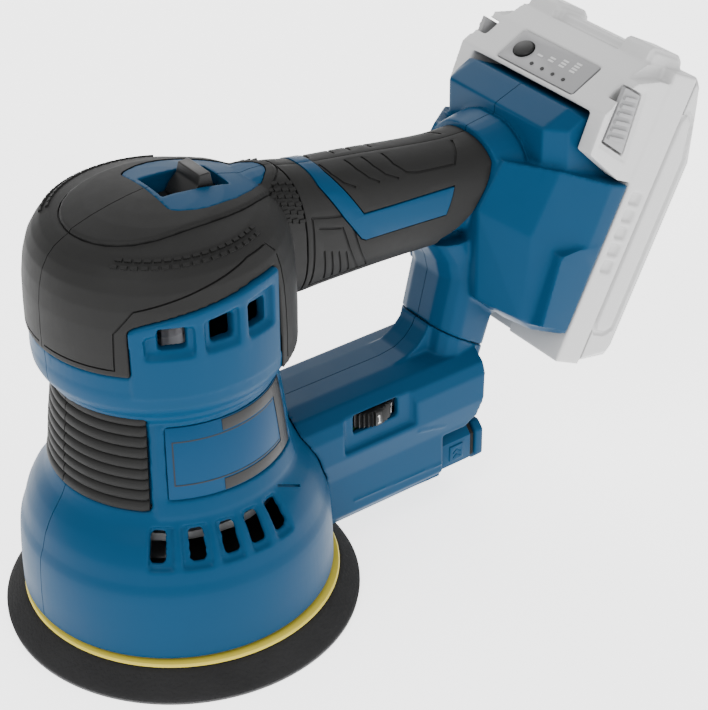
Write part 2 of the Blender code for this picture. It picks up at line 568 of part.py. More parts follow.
def make_covers():
    """Black head covers, handle grips, blue inlays and the top bezel."""
    outer = cap_solid("cover_outer", 0.0, CAP[0][1])
    inner = cap_solid("cover_inner", CAP_WALL, CAP[0][1] - 3.0)
    plan = BEZEL + [(x, -y) for x, y in BEZEL[-2:0:-1]]

    shell = guide("cover_whole", box((-60.0, NECK_LINE), (-60.0, 60.0), (100.0, 175.0)))
    combine(shell, "INTERSECT", outer)
    front_room = guide("front_room", box((-60.0, 44.0 * math.cos(math.radians(180 - BAND_END))), (-60.0, 60.0),
                                         (95.0, CAP_FRONT_BOTTOM)))
    combine(shell, "DIFFERENCE", inner, front_room)
    for side, word in ((-1, "left"), (1, "right")):
        room = wrap(lambda a: [(36.0, 100.0), (50.0, 100.0), (50.0, band_top(a) + GAP), (36.0, band_top(a) + GAP)],
                    BAND_START, BAND_END, side)
        combine(shell, "DIFFERENCE", guide(f"band_room_{word}", room))
    wide = [(x + math.copysign(GAP, x - 12.0), y + math.copysign(GAP, y) if y else 0.0) for x, y in plan]
    combine(shell, "DIFFERENCE", guide("bezel_room", prism(wide, 140.0, 175.0)))
    halves("head_cover", shell, BLACK, 0.6)

    bezel = guide("bezel_whole", prism(plan, 140.0, 174.0))
    combine(bezel, "DIFFERENCE", inner)
    combine(bezel, "UNION", guide("bezel_well", box((WELL_FRONT - 1.6, WELL_REAR + 2.0),
                                                    (-WELL_HALF - 1.8, WELL_HALF + 1.8), (WELL_BOTTOM, 172.0))))
    combine(bezel, "DIFFERENCE", guide("bezel_slot", box((WELL_FRONT, WELL_REAR), (-WELL_HALF, WELL_HALF),
                                                         (139.0, 176.0))))
    combine(bezel, "INTERSECT", outer)
    halves("top_bezel", bezel, BLUE)

    sleeve = [(NECK_LINE + GAP, 90.0), (NECK_LINE + GAP, 170.0)] + GRIP_END
    grip_outer = guide("grip_outer", handle_solid(0.0))
    grip_inner = guide("grip_inner", handle_solid(CAP_WALL, rear=10.0))
    for name, outline, colour in (("handle_grip", sleeve, BLACK), ("handle_inlay", INLAY, BLUE)):
        whole = guide(f"{name}_whole", prism(outline, -30.0, 30.0, "Y"))
        combine(whole, "INTERSECT", grip_outer)
        combine(whole, "DIFFERENCE", grip_inner)
        if name == "handle_grip":
            combine(whole, "DIFFERENCE", guide("inlay_room", prism(grown(INLAY, GAP), -30.0, 30.0, "Y")))
            collar = [(x - GAP, z) for x, z in GRIP_END] + [(150.0, 90.0), (150.0, 170.0)]
            combine(whole, "DIFFERENCE", guide("collar_room", prism(collar, -60.0, 60.0, "Y")))
        halves(name, whole, colour, 0.6 if colour is BLACK else 0.45)


def grown(outline, amount):
    """An outline pushed out square to its edges."""
    count = len(outline)
    area = sum(outline[i][0] * outline[(i + 1) % count][1] - outline[(i + 1) % count][0] * outline[i][1]
               for i in range(count))
    sign = 1.0 if area > 0 else -1.0
    wider = []
    for i in range(count):
        before, here, after = (Vector(outline[(i + k) % count]) for k in (-1, 0, 1))
        first, second = (here - before).normalized(), (after - here).normalized()
        normal = Vector((first.y + second.y, -first.x - second.x)).normalized() * sign
        lean = max(0.5, normal.dot(Vector((first.y, -first.x)) * sign))
        wider.append(tuple(here + normal * (amount / lean)))
    return wider


def make_switch():
    """Slide knob, the plate it stands on and the switch underneath."""
    plate_top = WELL_BOTTOM - GAP
    knob = box((KNOB_FRONT, KNOB_REAR), (-KNOB_HALF, KNOB_HALF), (plate_top + GAP, KNOB_TOP))
    for vert in knob.verts:
        if vert.co.z < plate_top + 1.0 and vert.co.x < KNOB_FRONT + 1.0:
            vert.co.x -= 3.0
    piece("switch_knob", knob, BLACK, 0.5, pivot=((KNOB_FRONT + KNOB_REAR) / 2, 0.0, plate_top))
    reach = SWITCH_TRAVEL + 1.0
    piece("switch_slide", box((WELL_FRONT - 1.2, WELL_REAR + reach), (-WELL_HALF - 0.8, WELL_HALF + 0.8),
                              (plate_top - 1.6, plate_top)), BLACK, 0.5, pivot=(14.0, 0.0, plate_top))
    piece("switch_body", box((1.0, 21.0), (-7.0, 7.0), (128.0, plate_top - 2.2)), BLACK, 0.5)


def make_barrel_trim():
    """Ribbed front grips and the flat plates on the sides of the barrel."""
    def ribbed(angle):
        points = [(barrel_radius(GRIP_HIGH) - 1.6, GRIP_HIGH), (barrel_radius(GRIP_LOW) - 1.6, GRIP_LOW)]
        pitch = (GRIP_HIGH - GRIP_LOW) / GRIP_RIBS
        for i in range(GRIP_RIBS):
            base = GRIP_LOW + i * pitch
            for share, proud in ((0.06, 0.3), (0.2, 1.2), (0.75, 1.2), (0.9, 0.3)):
                height = base + share * pitch
                points.append((barrel_radius(height) + proud, height))
        return points
    for side, word in ((-1, "left"), (1, "right")):
        piece(f"front_grip_{word}", wrap(ribbed, 0.3, GRIP_ANGLE, side), BLACK, 0.7)
        low, high = barrel_radius(LABEL_LOW), barrel_radius(LABEL_HIGH)
        plate = wrap(lambda a: [(low - 0.5, LABEL_LOW), (low + 0.4, LABEL_LOW), (high + 0.4, LABEL_HIGH),
                                (high - 0.5, LABEL_HIGH)], LABEL_START, LABEL_END, side)
        piece("label_plate" if side < 0 else "rating_plate", plate, (0.05, 0.2, 0.42), 0.35)


# ---------------------------------------------------------------- lower arm

def arm_solid(name, inset):
    """The arm with its dust duct, drawn in by inset."""
    profile = [(half - inset, height) for height, half in ARM_SIDE]
    profile[0] = (profile[0][0], ARM_SIDE[0][0] + inset)
    profile[-2] = (profile[-2][0], ARM_SIDE[-2][0] - inset)
    profile[-3] = (profile[-3][0], ARM_SIDE[-3][0] - inset)
    ring = profile + [(-y, z) for y, z in profile[::-1]]
    whole = guide(name, prism(ring, 30.0, 150.0, "X"))
    outline = [(x - inset if x > 100.0 and z < 77.0 and x != 105.6 else x, z - inset if 60.0 < z < 70.0 else z)
               for x, z in ARM_OUTLINE]
    if inset:
        outline = [(30.0, 10.0), (140.0, 10.0), (140.0, 33.0 - inset), (102.4, 33.0 - inset), (102.4, 60.0),
                   (96.0, 61.0), (30.0, 61.0)]
    combine(whole, "INTERSECT", guide(name + "_outline", prism(outline, -40.0, 40.0, "Y")))
    return whole


def make_arm():
    """Two arm halves, with the duct, the recess and window for the dial, and the lower strut."""
    whole = arm_solid("arm_whole", 0.0)
    combine(whole, "UNION", strut_solid("strut_lower", 0.0, low=33.4))
    combine(whole, "DIFFERENCE", arm_solid("arm_cavity", WALL), strut_solid("strut_lower_cavity", WALL, low=36.6))
    recess_bottom = 45.6
    for side in (-1, 1):
        cut = box((57.0, 88.0), tuple(sorted((side * 19.4, side * 30.0))), (recess_bottom, 70.0))
        combine(whole, "DIFFERENCE", guide(f"dial_recess_{side + 2}", cut))
    window = box((DIAL_X - 9.8, DIAL_X + 9.8), (-30.0, -14.0), (DIAL_LOW - 0.8, DIAL_HIGH + 0.8))
    combine(whole, "DIFFERENCE", guide("dial_window", window))
    outside = [(r + GAP, z) for r, z in BARREL]
    outside = [(0.0, 5.0), (BARREL[0][0] + GAP, 5.0)] + outside + [(BARREL[-1][0] + GAP, 110.0), (0.0, 110.0)]
    combine(whole, "DIFFERENCE", guide("barrel_room", turned(outside)))
    removed = above_seam_outline(0.0) + [(80.0, 200.0)]
    combine(whole, "DIFFERENCE", guide("above_strut_seam", prism(removed, -60.0, 60.0, "Y")))
    halves("arm", whole, BLUE)


def make_outlet():
    """The dust outlet: its box, gasket and end flange, open from front to rear."""
    def frame(name, low, high, half, bottom, top, colour, roughness=0.45):
        corner = 3.0
        ring = [(-half + corner, bottom), (half - corner, bottom), (half, bottom + corner), (half, top - corner),
                (half - corner, top), (-half + corner, top), (-half, top - corner), (-half, bottom + corner)]
        thing = piece(name, prism(ring, low, high, "X"), colour, roughness)
        return combine(thing, "DIFFERENCE", mouth)
    mouth = guide("outlet_mouth", box((90.0, 140.0), (-MOUTH_HALF, MOUTH_HALF), (MOUTH_LOW, MOUTH_HIGH)))
    start = 102.4 + GAP
    frame("outlet_box", start, 117.0, OUTLET_HALF, OUTLET_LOW, OUTLET_HIGH, BLUE)
    frame("outlet_gasket", 117.0 + GAP, 119.0, OUTLET_HALF - 0.5, OUTLET_LOW + 0.5, OUTLET_HIGH - 0.5, BLACK, 0.8)
    frame("outlet_flange", 119.0 + GAP, OUTLET_END, OUTLET_HALF + 0.2, OUTLET_LOW - 0.2, OUTLET_HIGH + 0.2, BLUE)


def make_dial():
    """Speed thumbwheel and the little board that it turns on."""
    bm = bmesh.new()
    ring = []
    for i in range(DIAL_RIBS * 2):
        turn = math.tau * i / (DIAL_RIBS * 2)
        radius = DIAL_RADIUS - (0.0 if i % 2 else 0.7)
        ring.append((DIAL_X + radius * math.cos(turn), DIAL_Y + radius * math.sin(turn)))
    loft(bm, [[(x, y, z) for x, y in ring] for z in (DIAL_LOW, DIAL_HIGH)])
    piece("speed_dial", bm, BLACK, 0.5, pivot=(DIAL_X, DIAL_Y, DIAL_LOW))
    board = box((DIAL_X - 9.0, DIAL_X + 9.0), (DIAL_Y - 5.0, DIAL_Y + 13.0), (DIAL_LOW - 6.0, DIAL_LOW - 1.0))
    piece("dial_board", board, (0.03, 0.18, 0.08), 0.5)


def make_inside():
    """Control board in the handle and the heat sink on it."""
    piece("control_board", box((58.0, 116.0), (-9.0, 9.0), (118.0, 119.6)), (0.03, 0.18, 0.08), 0.5)
    piece("heat_sink", box((70.0, 100.0), (-8.0, 8.0), (119.9, 130.0)), STEEL, 0.4, 1.0)


# ---------------------------------------------------------------- battery pack

def pack_outline(inset, front, rear):
    """Side view of the pack between two planes square to the slide, drawn in by inset."""
    low, high = -11.0 + inset, 100.5 - inset
    if rear <= PACK_SPLIT + 1.0:
        return [(low, front), (low, rear), (high, rear), (high, front)]
    back = PACK_REAR - inset
    return [(low, front), (low + 4.0, back - 1.0), (low + 7.0, back), (71.5 - inset * 0.5, back),
            (high, 20.5 - inset * 0.6), (high, front)]


def make_pack():
    """The two shells of the battery pack, with the cheeks, the gauge head and the lock lugs."""
    front = guide("pack_front_whole", seat_prism(pack_outline(0.0, PACK_FACE, PACK_SPLIT), -PACK_HALF, PACK_HALF))
    head = [(78.4, PACK_FACE + 1.0), (78.4, -20.4), (80.3, -20.4), (93.5, -10.0), (100.0, -3.0),
            (100.0, PACK_FACE + 1.0)]
    cheek = [(59.0, PACK_FACE + 1.0), (59.0, -1.0), (65.5, -19.5), (80.3, -20.4), (93.5, -10.0), (96.0, 0.0),
             (96.0, PACK_FACE + 1.0)]
    lug = [(99.0, -3.0), (106.0, -1.0), (105.0, 15.0), (99.0, 17.5)]
    bar = [(99.0, 0.0), (103.0, 2.0), (103.0, 10.0), (99.0, 14.0)]
    combine(front, "UNION", guide("gauge_head", seat_prism(head, -33.0, 33.0)))
    for side, word in ((-1, "left"), (1, "right")):
        limits = sorted((side * (SEAT_TOP_HALF + CHEEK_GAP), side * (PACK_HALF - 0.4)))
        combine(front, "UNION", guide(f"cheek_{word}", seat_prism(cheek, *limits)))
        limits = sorted((side * 18.0, side * 31.0))
        combine(front, "UNION", guide(f"lug_{word}", seat_prism(lug, *limits)))
    combine(front, "UNION", guide("lock_bar", seat_prism(bar, -19.0, 19.0)))
    inside = seat_prism([(-11.0 + PACK_WALL, PACK_FACE + 3.3), (-11.0 + PACK_WALL, PACK_SPLIT + 5.0),
                         (100.5 - PACK_WALL, PACK_SPLIT + 5.0), (100.5 - PACK_WALL, PACK_FACE + 3.3)],
                        -PACK_HALF + PACK_WALL, PACK_HALF - PACK_WALL)
    combine(front, "DIFFERENCE", guide("pack_front_room", inside))
    channel = seat_prism([(-14.0, 3.0), (53.0, 3.0), (53.0, RAIL_TOP + 0.5), (-14.0, RAIL_TOP + 0.5)],
                         -RAIL_HALF - 0.4, RAIL_HALF + 0.4)
    combine(front, "DIFFERENCE", guide("rail_channel", channel))
    combine(front, "DIFFERENCE", guide("head_clearance", seat_prism(
        [(50.0, 0.0), (79.0, 0.0), (79.0, -30.0), (50.0, -30.0)], -SEAT_TOP_HALF - CHEEK_GAP,
        SEAT_TOP_HALF + CHEEK_GAP)))
    for side, word in ((-1, "left"), (1, "right")):
        limits = sorted((side * (PACK_HALF - 5.6), side * (PACK_HALF + 4.0)))
        combine(front, "DIFFERENCE", guide(f"button_room_{word}", seat_prism(grown(BUTTON, 0.5), *limits)))
    combine(front, "DIFFERENCE", guide("panel_room", gauge_slab(0.9, 15.7, -1.2, 3.0, 20.4)))
    combine(front, "DIFFERENCE", guide("gauge_button_room", gauge_slab(4.2, 12.4, -3.2, 3.0, 4.6, 13.0)))
    shell = piece("battery_case_front", box((100.0, 230.0), (-60.0, 60.0), (30.0, 200.0)), PALE, 0.5)
    combine(shell, "INTERSECT", front)

    rear = seat_prism(pack_outline(0.0, PACK_SPLIT + GAP, PACK_REAR), -PACK_HALF, PACK_HALF)
    back = piece("battery_case_rear", rear, PALE, 0.5)
    room = seat_prism(pack_outline(PACK_WALL, PACK_SPLIT - 4.0, PACK_REAR), -PACK_HALF + PACK_WALL,
                      PACK_HALF - PACK_WALL)
    combine(back, "DIFFERENCE", guide("pack_rear_room", room))


def gauge_slab(start, end, low, high, half, middle=0.0):
    """A block lying on the sloped gauge face: along it, and from low to high above it."""
    c, s = math.cos(GAUGE_LEAN), math.sin(GAUGE_LEAN)

    def place(along, above):
        return (GAUGE_START[0] + along * c + above * s, GAUGE_START[1] + along * s - above * c)
    outline = [place(start, low), place(end, low), place(end, high), place(start, high)]
    return seat_prism(outline, middle - half, middle + half)


def make_pack_pieces():
    """Gauge, buttons, cells and board of the pack, and the rail and blades on the seat."""
    panel = piece("gauge_panel", gauge_slab(1.2, 15.4, -0.9, 0.2, 20.0), (0.55, 0.55, 0.56), 0.4)
    combine(panel, "DIFFERENCE", guide("panel_hole", gauge_slab(4.2, 12.4, -3.0, 3.0, 4.6, 13.0)))
    button = gauge_slab(4.6, 12.0, -2.0, 0.9, 4.2, 13.0)
    centre = seat_point(GAUGE_START[0] + 8.0 * math.cos(GAUGE_LEAN), GAUGE_START[1] + 8.0 * math.sin(GAUGE_LEAN))
    piece("gauge_button", button, (0.35, 0.35, 0.36), 0.5, pivot=(centre[0], 13.0, centre[1]))
    for side, word in ((-1, "left"), (1, "right")):
        limits = sorted((side * (PACK_HALF - 2.6), side * (PACK_HALF + 0.2)))
        middle = seat_point(80.0, -10.0)
        piece(f"release_button_{word}", seat_prism(BUTTON, *limits), (0.3, 0.3, 0.31), 0.5,
              pivot=(middle[0], side * PACK_HALF, middle[1]))
    for i in range(CELLS):
        x, z = seat_point(FIRST_CELL[0] + CELL_PITCH * i, FIRST_CELL[1])
        ring = [(x + CELL_RADIUS * math.cos(math.tau * k / 20), z + CELL_RADIUS * math.sin(math.tau * k / 20))
                for k in range(20)]
        piece(f"cell_{i + 1}", prism(ring, -CELL_LENGTH / 2, CELL_LENGTH / 2, "Y"), (0.1, 0.3, 0.5), 0.4)
    board = [(86.5, 11.0), (88.1, 11.0), (88.1, 20.0), (86.5, 20.0)]
    piece("pack_board", seat_prism(board, -30.0, 30.0), (0.03, 0.18, 0.08), 0.5)
    rail = [(RAIL_LOW, 3.3), (RAIL_HIGH, 3.3), (RAIL_HIGH, RAIL_TOP), (RAIL_LOW, RAIL_TOP)]
    piece("terminal_rail", seat_prism(rail, -RAIL_HALF, RAIL_HALF), BLACK, 0.5)
    blade = [(RAIL_HIGH + GAP, 3.3), (RAIL_HIGH + 11.0, 3.3), (RAIL_HIGH + 11.0, RAIL_TOP - 0.4),
             (RAIL_HIGH + GAP, RAIL_TOP - 0.4)]
    for name, middle in (("terminal_blade_plus", -7.0), ("terminal_blade_minus", 7.0)):
        piece(name, seat_prism(blade, middle - 0.5, middle + 0.5), (0.7, 0.5, 0.2), 0.3, 1.0)


def main():
    for thing in list(bpy.data.objects):
        bpy.data.objects.remove(thing)
    make_pad()
    make_rotor()
    make_motor()
    make_housings()
    make_covers()
    make_switch()
    make_barrel_trim()
    make_arm()
    make_outlet()
    make_dial()
    make_inside()
    make_pack()
    make_pack_pieces()


main()
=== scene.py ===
"""Cordless dual action machine, finished piece by piece around its CAD frame.

Sizes are in millimetres until they reach Blender. The frame's origin is the middle of the pad face, +Z runs up
the spindle, +X back along the handle to the battery pack, and -Y is the left side.
"""

import json
import math

import bmesh
import bpy
from mathutils import Matrix, Quaternion, Vector

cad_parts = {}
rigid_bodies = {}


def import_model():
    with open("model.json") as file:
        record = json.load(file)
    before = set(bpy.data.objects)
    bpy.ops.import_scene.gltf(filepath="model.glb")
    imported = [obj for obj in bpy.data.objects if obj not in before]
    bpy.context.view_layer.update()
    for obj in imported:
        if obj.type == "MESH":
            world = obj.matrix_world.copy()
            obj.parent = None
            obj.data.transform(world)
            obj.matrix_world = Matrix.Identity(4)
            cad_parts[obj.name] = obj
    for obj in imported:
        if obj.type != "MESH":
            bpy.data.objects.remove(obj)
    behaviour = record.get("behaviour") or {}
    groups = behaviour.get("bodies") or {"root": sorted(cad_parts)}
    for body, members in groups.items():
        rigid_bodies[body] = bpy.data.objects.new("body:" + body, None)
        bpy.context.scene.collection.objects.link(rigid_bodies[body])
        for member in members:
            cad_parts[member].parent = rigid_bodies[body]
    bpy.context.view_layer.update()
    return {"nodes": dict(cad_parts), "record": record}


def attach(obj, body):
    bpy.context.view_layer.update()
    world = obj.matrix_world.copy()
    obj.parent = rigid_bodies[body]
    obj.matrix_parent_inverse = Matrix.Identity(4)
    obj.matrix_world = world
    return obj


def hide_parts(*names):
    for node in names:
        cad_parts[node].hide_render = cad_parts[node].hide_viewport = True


bl_info = {
    "name": "Dual action machine",
    "version": (1, 0, 0),
    "blender": (4, 5, 0),
    "location": "3D View > Sidebar > Dual action machine",
    "description": "Models the pieces of a cordless dual action machine",
    "category": "Add Mesh",
}

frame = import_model()

MM = 0.001
WELD = MM / 500
SEAM = 0.15
SIDES = (("left", -1), ("right", 1))


# ---------------------------------------------------------------- drawing with Blender's tools

def pick(*things):
    """Select only these objects and make the last one active."""
    bpy.ops.object.select_all(action="DESELECT")
    for thing in things:
        thing.select_set(True)
        bpy.context.view_layer.objects.active = thing


def blank(name):
    """Start an empty mesh and open it for editing."""
    bpy.ops.object.select_all(action="DESELECT")
    bpy.ops.mesh.primitive_plane_add(size=MM, location=(0, 0, 0))
    thing = named(bpy.context.object, name.replace(" ", "_"))
    bpy.ops.object.mode_set(mode="EDIT")
    bpy.ops.mesh.select_mode(type="VERT")
    bpy.ops.mesh.select_all(action="SELECT")
    bpy.ops.mesh.delete(type="VERT")
    return thing


def close_edit(thing):
    """Turn the faces outwards and leave edit mode."""
    bpy.ops.mesh.select_all(action="SELECT")
    bpy.ops.mesh.normals_make_consistent(inside=False)
    bpy.ops.object.mode_set(mode="OBJECT")
    return thing


def edit_all(thing):
    """Open a finished mesh with everything selected."""
    pick(thing)
    bpy.ops.object.mode_set(mode="EDIT")
    bpy.ops.mesh.select_mode(type="VERT")
    bpy.ops.mesh.select_all(action="SELECT")


def draw(points, closed=False, fill=False):
    """Draw a line through points by extruding one vertex from place to place."""
    bpy.ops.mesh.select_all(action="DESELECT")
    bpy.ops.mesh.primitive_plane_add(size=MM, location=Vector(points[0]) * MM)
    bpy.ops.mesh.merge(type="CENTER")
    for here, there in zip(points, points[1:]):
        step = (Vector(there) - Vector(here)) * MM
        bpy.ops.mesh.extrude_vertices_move(TRANSFORM_OT_translate={"value": step})
    bpy.ops.mesh.select_linked()
    if closed:
        bm = bmesh.from_edit_mesh(bpy.context.object.data)
        ring = [vert for vert in bm.verts if vert.select]
        for vert in ring:
            vert.select = len(vert.link_edges) == 1
        bm.select_flush_mode()
        bmesh.update_edit_mesh(bpy.context.object.data)
        bpy.ops.mesh.edge_face_add()
        bpy.ops.mesh.select_linked()
    if fill:
        bpy.ops.mesh.edge_face_add()


def turned(name, profile, centre=(0.0, 0.0), steps=96):
    """Spin a profile of (radius, height) once round an upright axis."""
    thing = blank(name)
    on_axis = profile[0][0] == 0.0 and profile[-1][0] == 0.0
    draw([(centre[0] + r, centre[1], z) for r, z in profile], closed=not on_axis)
    bpy.ops.mesh.spin(steps=steps, angle=math.tau, center=(centre[0] * MM, centre[1] * MM, 0.0),
                      axis=(0.0, 0.0, 1.0))
    bpy.ops.mesh.select_all(action="SELECT")
    bpy.ops.mesh.remove_doubles(threshold=WELD)
    return close_edit(thing)


def pushed(name, outline, low, high, axis="Z"):
    """Fill an outline and extrude it: (x, y) along Z, (x, z) along Y, or (y, z) along X."""
    thing = blank(name)
    place = {"Z": lambda a, b: (a, b, low), "Y": lambda a, b: (a, low, b), "X": lambda a, b: (low, a, b)}[axis]
    draw([place(a, b) for a, b in outline], closed=True, fill=True)
    reach = {"X": (high - low, 0, 0), "Y": (0, high - low, 0), "Z": (0, 0, high - low)}[axis]
    bpy.ops.mesh.extrude_region_move(TRANSFORM_OT_translate={"value": Vector(reach) * MM})
    return close_edit(thing)


def oblong(left, right, low, high):
    """The outline of a rectangle."""
    return [(left, low), (right, low), (right, high), (left, high)]


def block(name, x, y, z):
    """A block between pairs of limits."""
    return pushed(name, oblong(*x, *y), *z)


def span(side, near, far):
    """Two distances from the middle plane as a low and a high y, on the left (-1) or right (1)."""
    return sorted((side * near, side * far))


def lofted(name, rings):
    """Bridge closed rings of equal count one to the next, and fill both ends."""
    thing = blank(name)
    mesh = thing.data
    bmesh.from_edit_mesh(mesh).verts.layers.int.new("ring")
    for number, ring in enumerate(rings, 1):
        draw(ring, closed=True)
        bm = bmesh.from_edit_mesh(mesh)
        layer = bm.verts.layers.int["ring"]
        for vert in bm.verts:
            if vert[layer] == 0:
                vert[layer] = number
        bmesh.update_edit_mesh(mesh)
    bpy.ops.mesh.select_mode(type="EDGE")
    for number in range(1, len(rings)):
        bpy.ops.mesh.select_all(action="DESELECT")
        bm = bmesh.from_edit_mesh(mesh)
        layer = bm.verts.layers.int["ring"]
        for edge in bm.edges:
            one, two = (vert[layer] for vert in edge.verts)
            edge.select = one == two and one in (number, number + 1)
        bmesh.update_edit_mesh(mesh)
        bpy.ops.mesh.bridge_edge_loops()
    bpy.ops.mesh.select_mode(type="VERT")
    bpy.ops.mesh.select_all(action="SELECT")
    bpy.ops.mesh.fill_holes(sides=0)
    return close_edit(thing)


def use(thing, kind, **settings):
    """Add a modifier with these settings and apply it."""
    pick(thing)
    step = thing.modifiers.new(kind.lower(), kind)
    for key, value in settings.items():
        setattr(step, key, value)
    bpy.ops.object.modifier_apply(modifier=step.name)
    return thing


def combine(thing, operation, *others, solver="EXACT"):
    """Join, cut or limit a piece with others, which are used up."""
    for other in others:
        use(thing, "BOOLEAN", operation=operation, solver=solver, object=other)
        bpy.data.objects.remove(other)
    return thing


def fuse(thing, operation, *others):
    """The same for the large thin mouldings, where the EXACT solver leaves open edges."""
    return combine(thing, operation, *others, solver="MANIFOLD")


def twin(thing, name):
    """A copy with its own mesh."""
    pick(thing)
    bpy.ops.object.duplicate()
    return named(bpy.context.object, name)



def joined(thing, *others):
    """Put several meshes into one object."""
    if others:
        pick(*others, thing)
        bpy.ops.object.join()
    return thing


def softened(thing, grid, rounds=3, keep=0.3):
    """Round all edges a little, as a moulding's are."""
    use(thing, "REMESH", mode="VOXEL", voxel_size=grid * MM)
    use(thing, "SMOOTH", factor=0.5, iterations=rounds)
    use(thing, "DECIMATE", ratio=keep)
    return thing


def rounded(thing, width, segments=2, angle=30.0):
    """Bevel every edge sharper than angle."""
    return use(thing, "BEVEL", width=width * MM, segments=segments, limit_method="ANGLE",
               angle_limit=math.radians(angle), harden_normals=False)


def shaded(thing, angle=35.0):
    """Smooth shading that keeps real edges."""
    pick(thing)
    bpy.ops.object.shade_smooth_by_angle(angle=math.radians(angle))
    return thing


def named(thing, name):
    """Name an object and its mesh."""
    thing.name = thing.data.name = name
    return thing


def placed(thing, body, slot, *nodes):
    """Give a finished piece its material and its place in the frame."""
    thing.data.materials.clear()
    thing.data.materials.append(FINISH[slot])
    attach(thing, body)
    if nodes:
        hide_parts(*nodes)
    return thing


def in_halves(whole, name, slot, node, bevel=0.0):
    """Cut a moulding along the middle plane and put its left and right pieces on the housing."""
    for word, side in SIDES:
        half = twin(whole, f"{name}_{word}")
        edit_all(half)
        bpy.ops.mesh.bisect(plane_co=(0.0, side * SEAM * MM, 0.0), plane_no=(0.0, -side, 0.0), use_fill=True,
                            clear_outer=True)
        close_edit(half)
        if bevel:
            rounded(half, bevel, angle=40.0)
        placed(shaded(half, 40.0), "housing", slot, f"{node}_{word}")
    bpy.data.objects.remove(whole)


# ---------------------------------------------------------------- finishes

def group_of(name, inputs, outputs):
    """A shader node group with named number inputs and outputs."""
    group = bpy.data.node_groups.new(name, "ShaderNodeTree")
    for label, value in inputs:
        socket = group.interface.new_socket(label, in_out="INPUT", socket_type="NodeSocketFloat")
        socket.default_value = value
    for label in outputs:
        group.interface.new_socket(label, in_out="OUTPUT", socket_type="NodeSocketFloat")
    return group, group.nodes.new("NodeGroupInput"), group.nodes.new("NodeGroupOutput")


def link(tree, source, target):
    """Join two sockets."""
    tree.links.new(source, target)


def noise_node(tree, vector, scale, detail=4.0, rough=0.6):
    """A noise texture on the given coordinates."""
    node = tree.nodes.new("ShaderNodeTexNoise")
    node.inputs["Scale"].default_value = scale
    node.inputs["Detail"].default_value = detail
    node.inputs["Roughness"].default_value = rough
    link(tree, vector, node.inputs["Vector"])
    return node.outputs["Fac"]


def maths(tree, operation, *values):
    """A Math node whose inputs are numbers or sockets."""
    node = tree.nodes.new("ShaderNodeMath")
    node.operation = operation
    for slot, value in zip(node.inputs, values):
        if isinstance(value, (int, float)):
            slot.default_value = value
        else:
            link(tree, value, slot)
    return node.outputs[0]


def make_grain_group():
    """Fine moulded grain with broad handling marks: height, tone and roughness that vary over the surface."""
    group, ins, outs = group_of("moulded grain", [("Size", 1800.0), ("Depth", 0.5), ("Tone", 0.1),
                                                  ("Base Roughness", 0.4), ("Spread", 0.1)],
                                ["Height", "Tone", "Roughness"])
    place = group.nodes.new("ShaderNodeTexCoord").outputs["Object"]
    fine = group.nodes.new("ShaderNodeTexNoise")
    fine.inputs["Detail"].default_value = 3.0
    link(group, place, fine.inputs["Vector"])
    link(group, ins.outputs["Size"], fine.inputs["Scale"])
    broad = noise_node(group, place, 38.0, 5.0)
    scuff = noise_node(group, place, 260.0, 6.0, 0.75)
    height = maths(group, "MULTIPLY", fine.outputs["Fac"], ins.outputs["Depth"])
    link(group, height, outs.inputs["Height"])
    centred = maths(group, "SUBTRACT", broad, 0.5)
    tone = maths(group, "MULTIPLY_ADD", centred, ins.outputs["Tone"], 1.0)
    link(group, tone, outs.inputs["Tone"])
    mixed = maths(group, "MULTIPLY_ADD", maths(group, "SUBTRACT", scuff, 0.5), 0.6, centred)
    rough = maths(group, "MULTIPLY_ADD", mixed, ins.outputs["Spread"], ins.outputs["Base Roughness"])
    link(group, rough, outs.inputs["Roughness"])
    return group


def make_dust_group():
    """Pale dust that settles on faces that look up: a mask."""
    group, ins, outs = group_of("settled dust", [("Amount", 0.1)], ["Mask"])
    look = group.nodes.new("ShaderNodeNewGeometry")
    apart = group.nodes.new("ShaderNodeSeparateXYZ")
    link(group, look.outputs["Normal"], apart.inputs["Vector"])
    place = group.nodes.new("ShaderNodeTexCoord").outputs["Object"]
    patch = noise_node(group, place, 55.0, 6.0, 0.7)
    up = maths(group, "MAXIMUM", apart.outputs["Z"], 0.0)
    mask = maths(group, "MULTIPLY", maths(group, "MULTIPLY", up, patch), ins.outputs["Amount"])
    link(group, mask, outs.inputs["Mask"])
    return group


GROUPS = {}


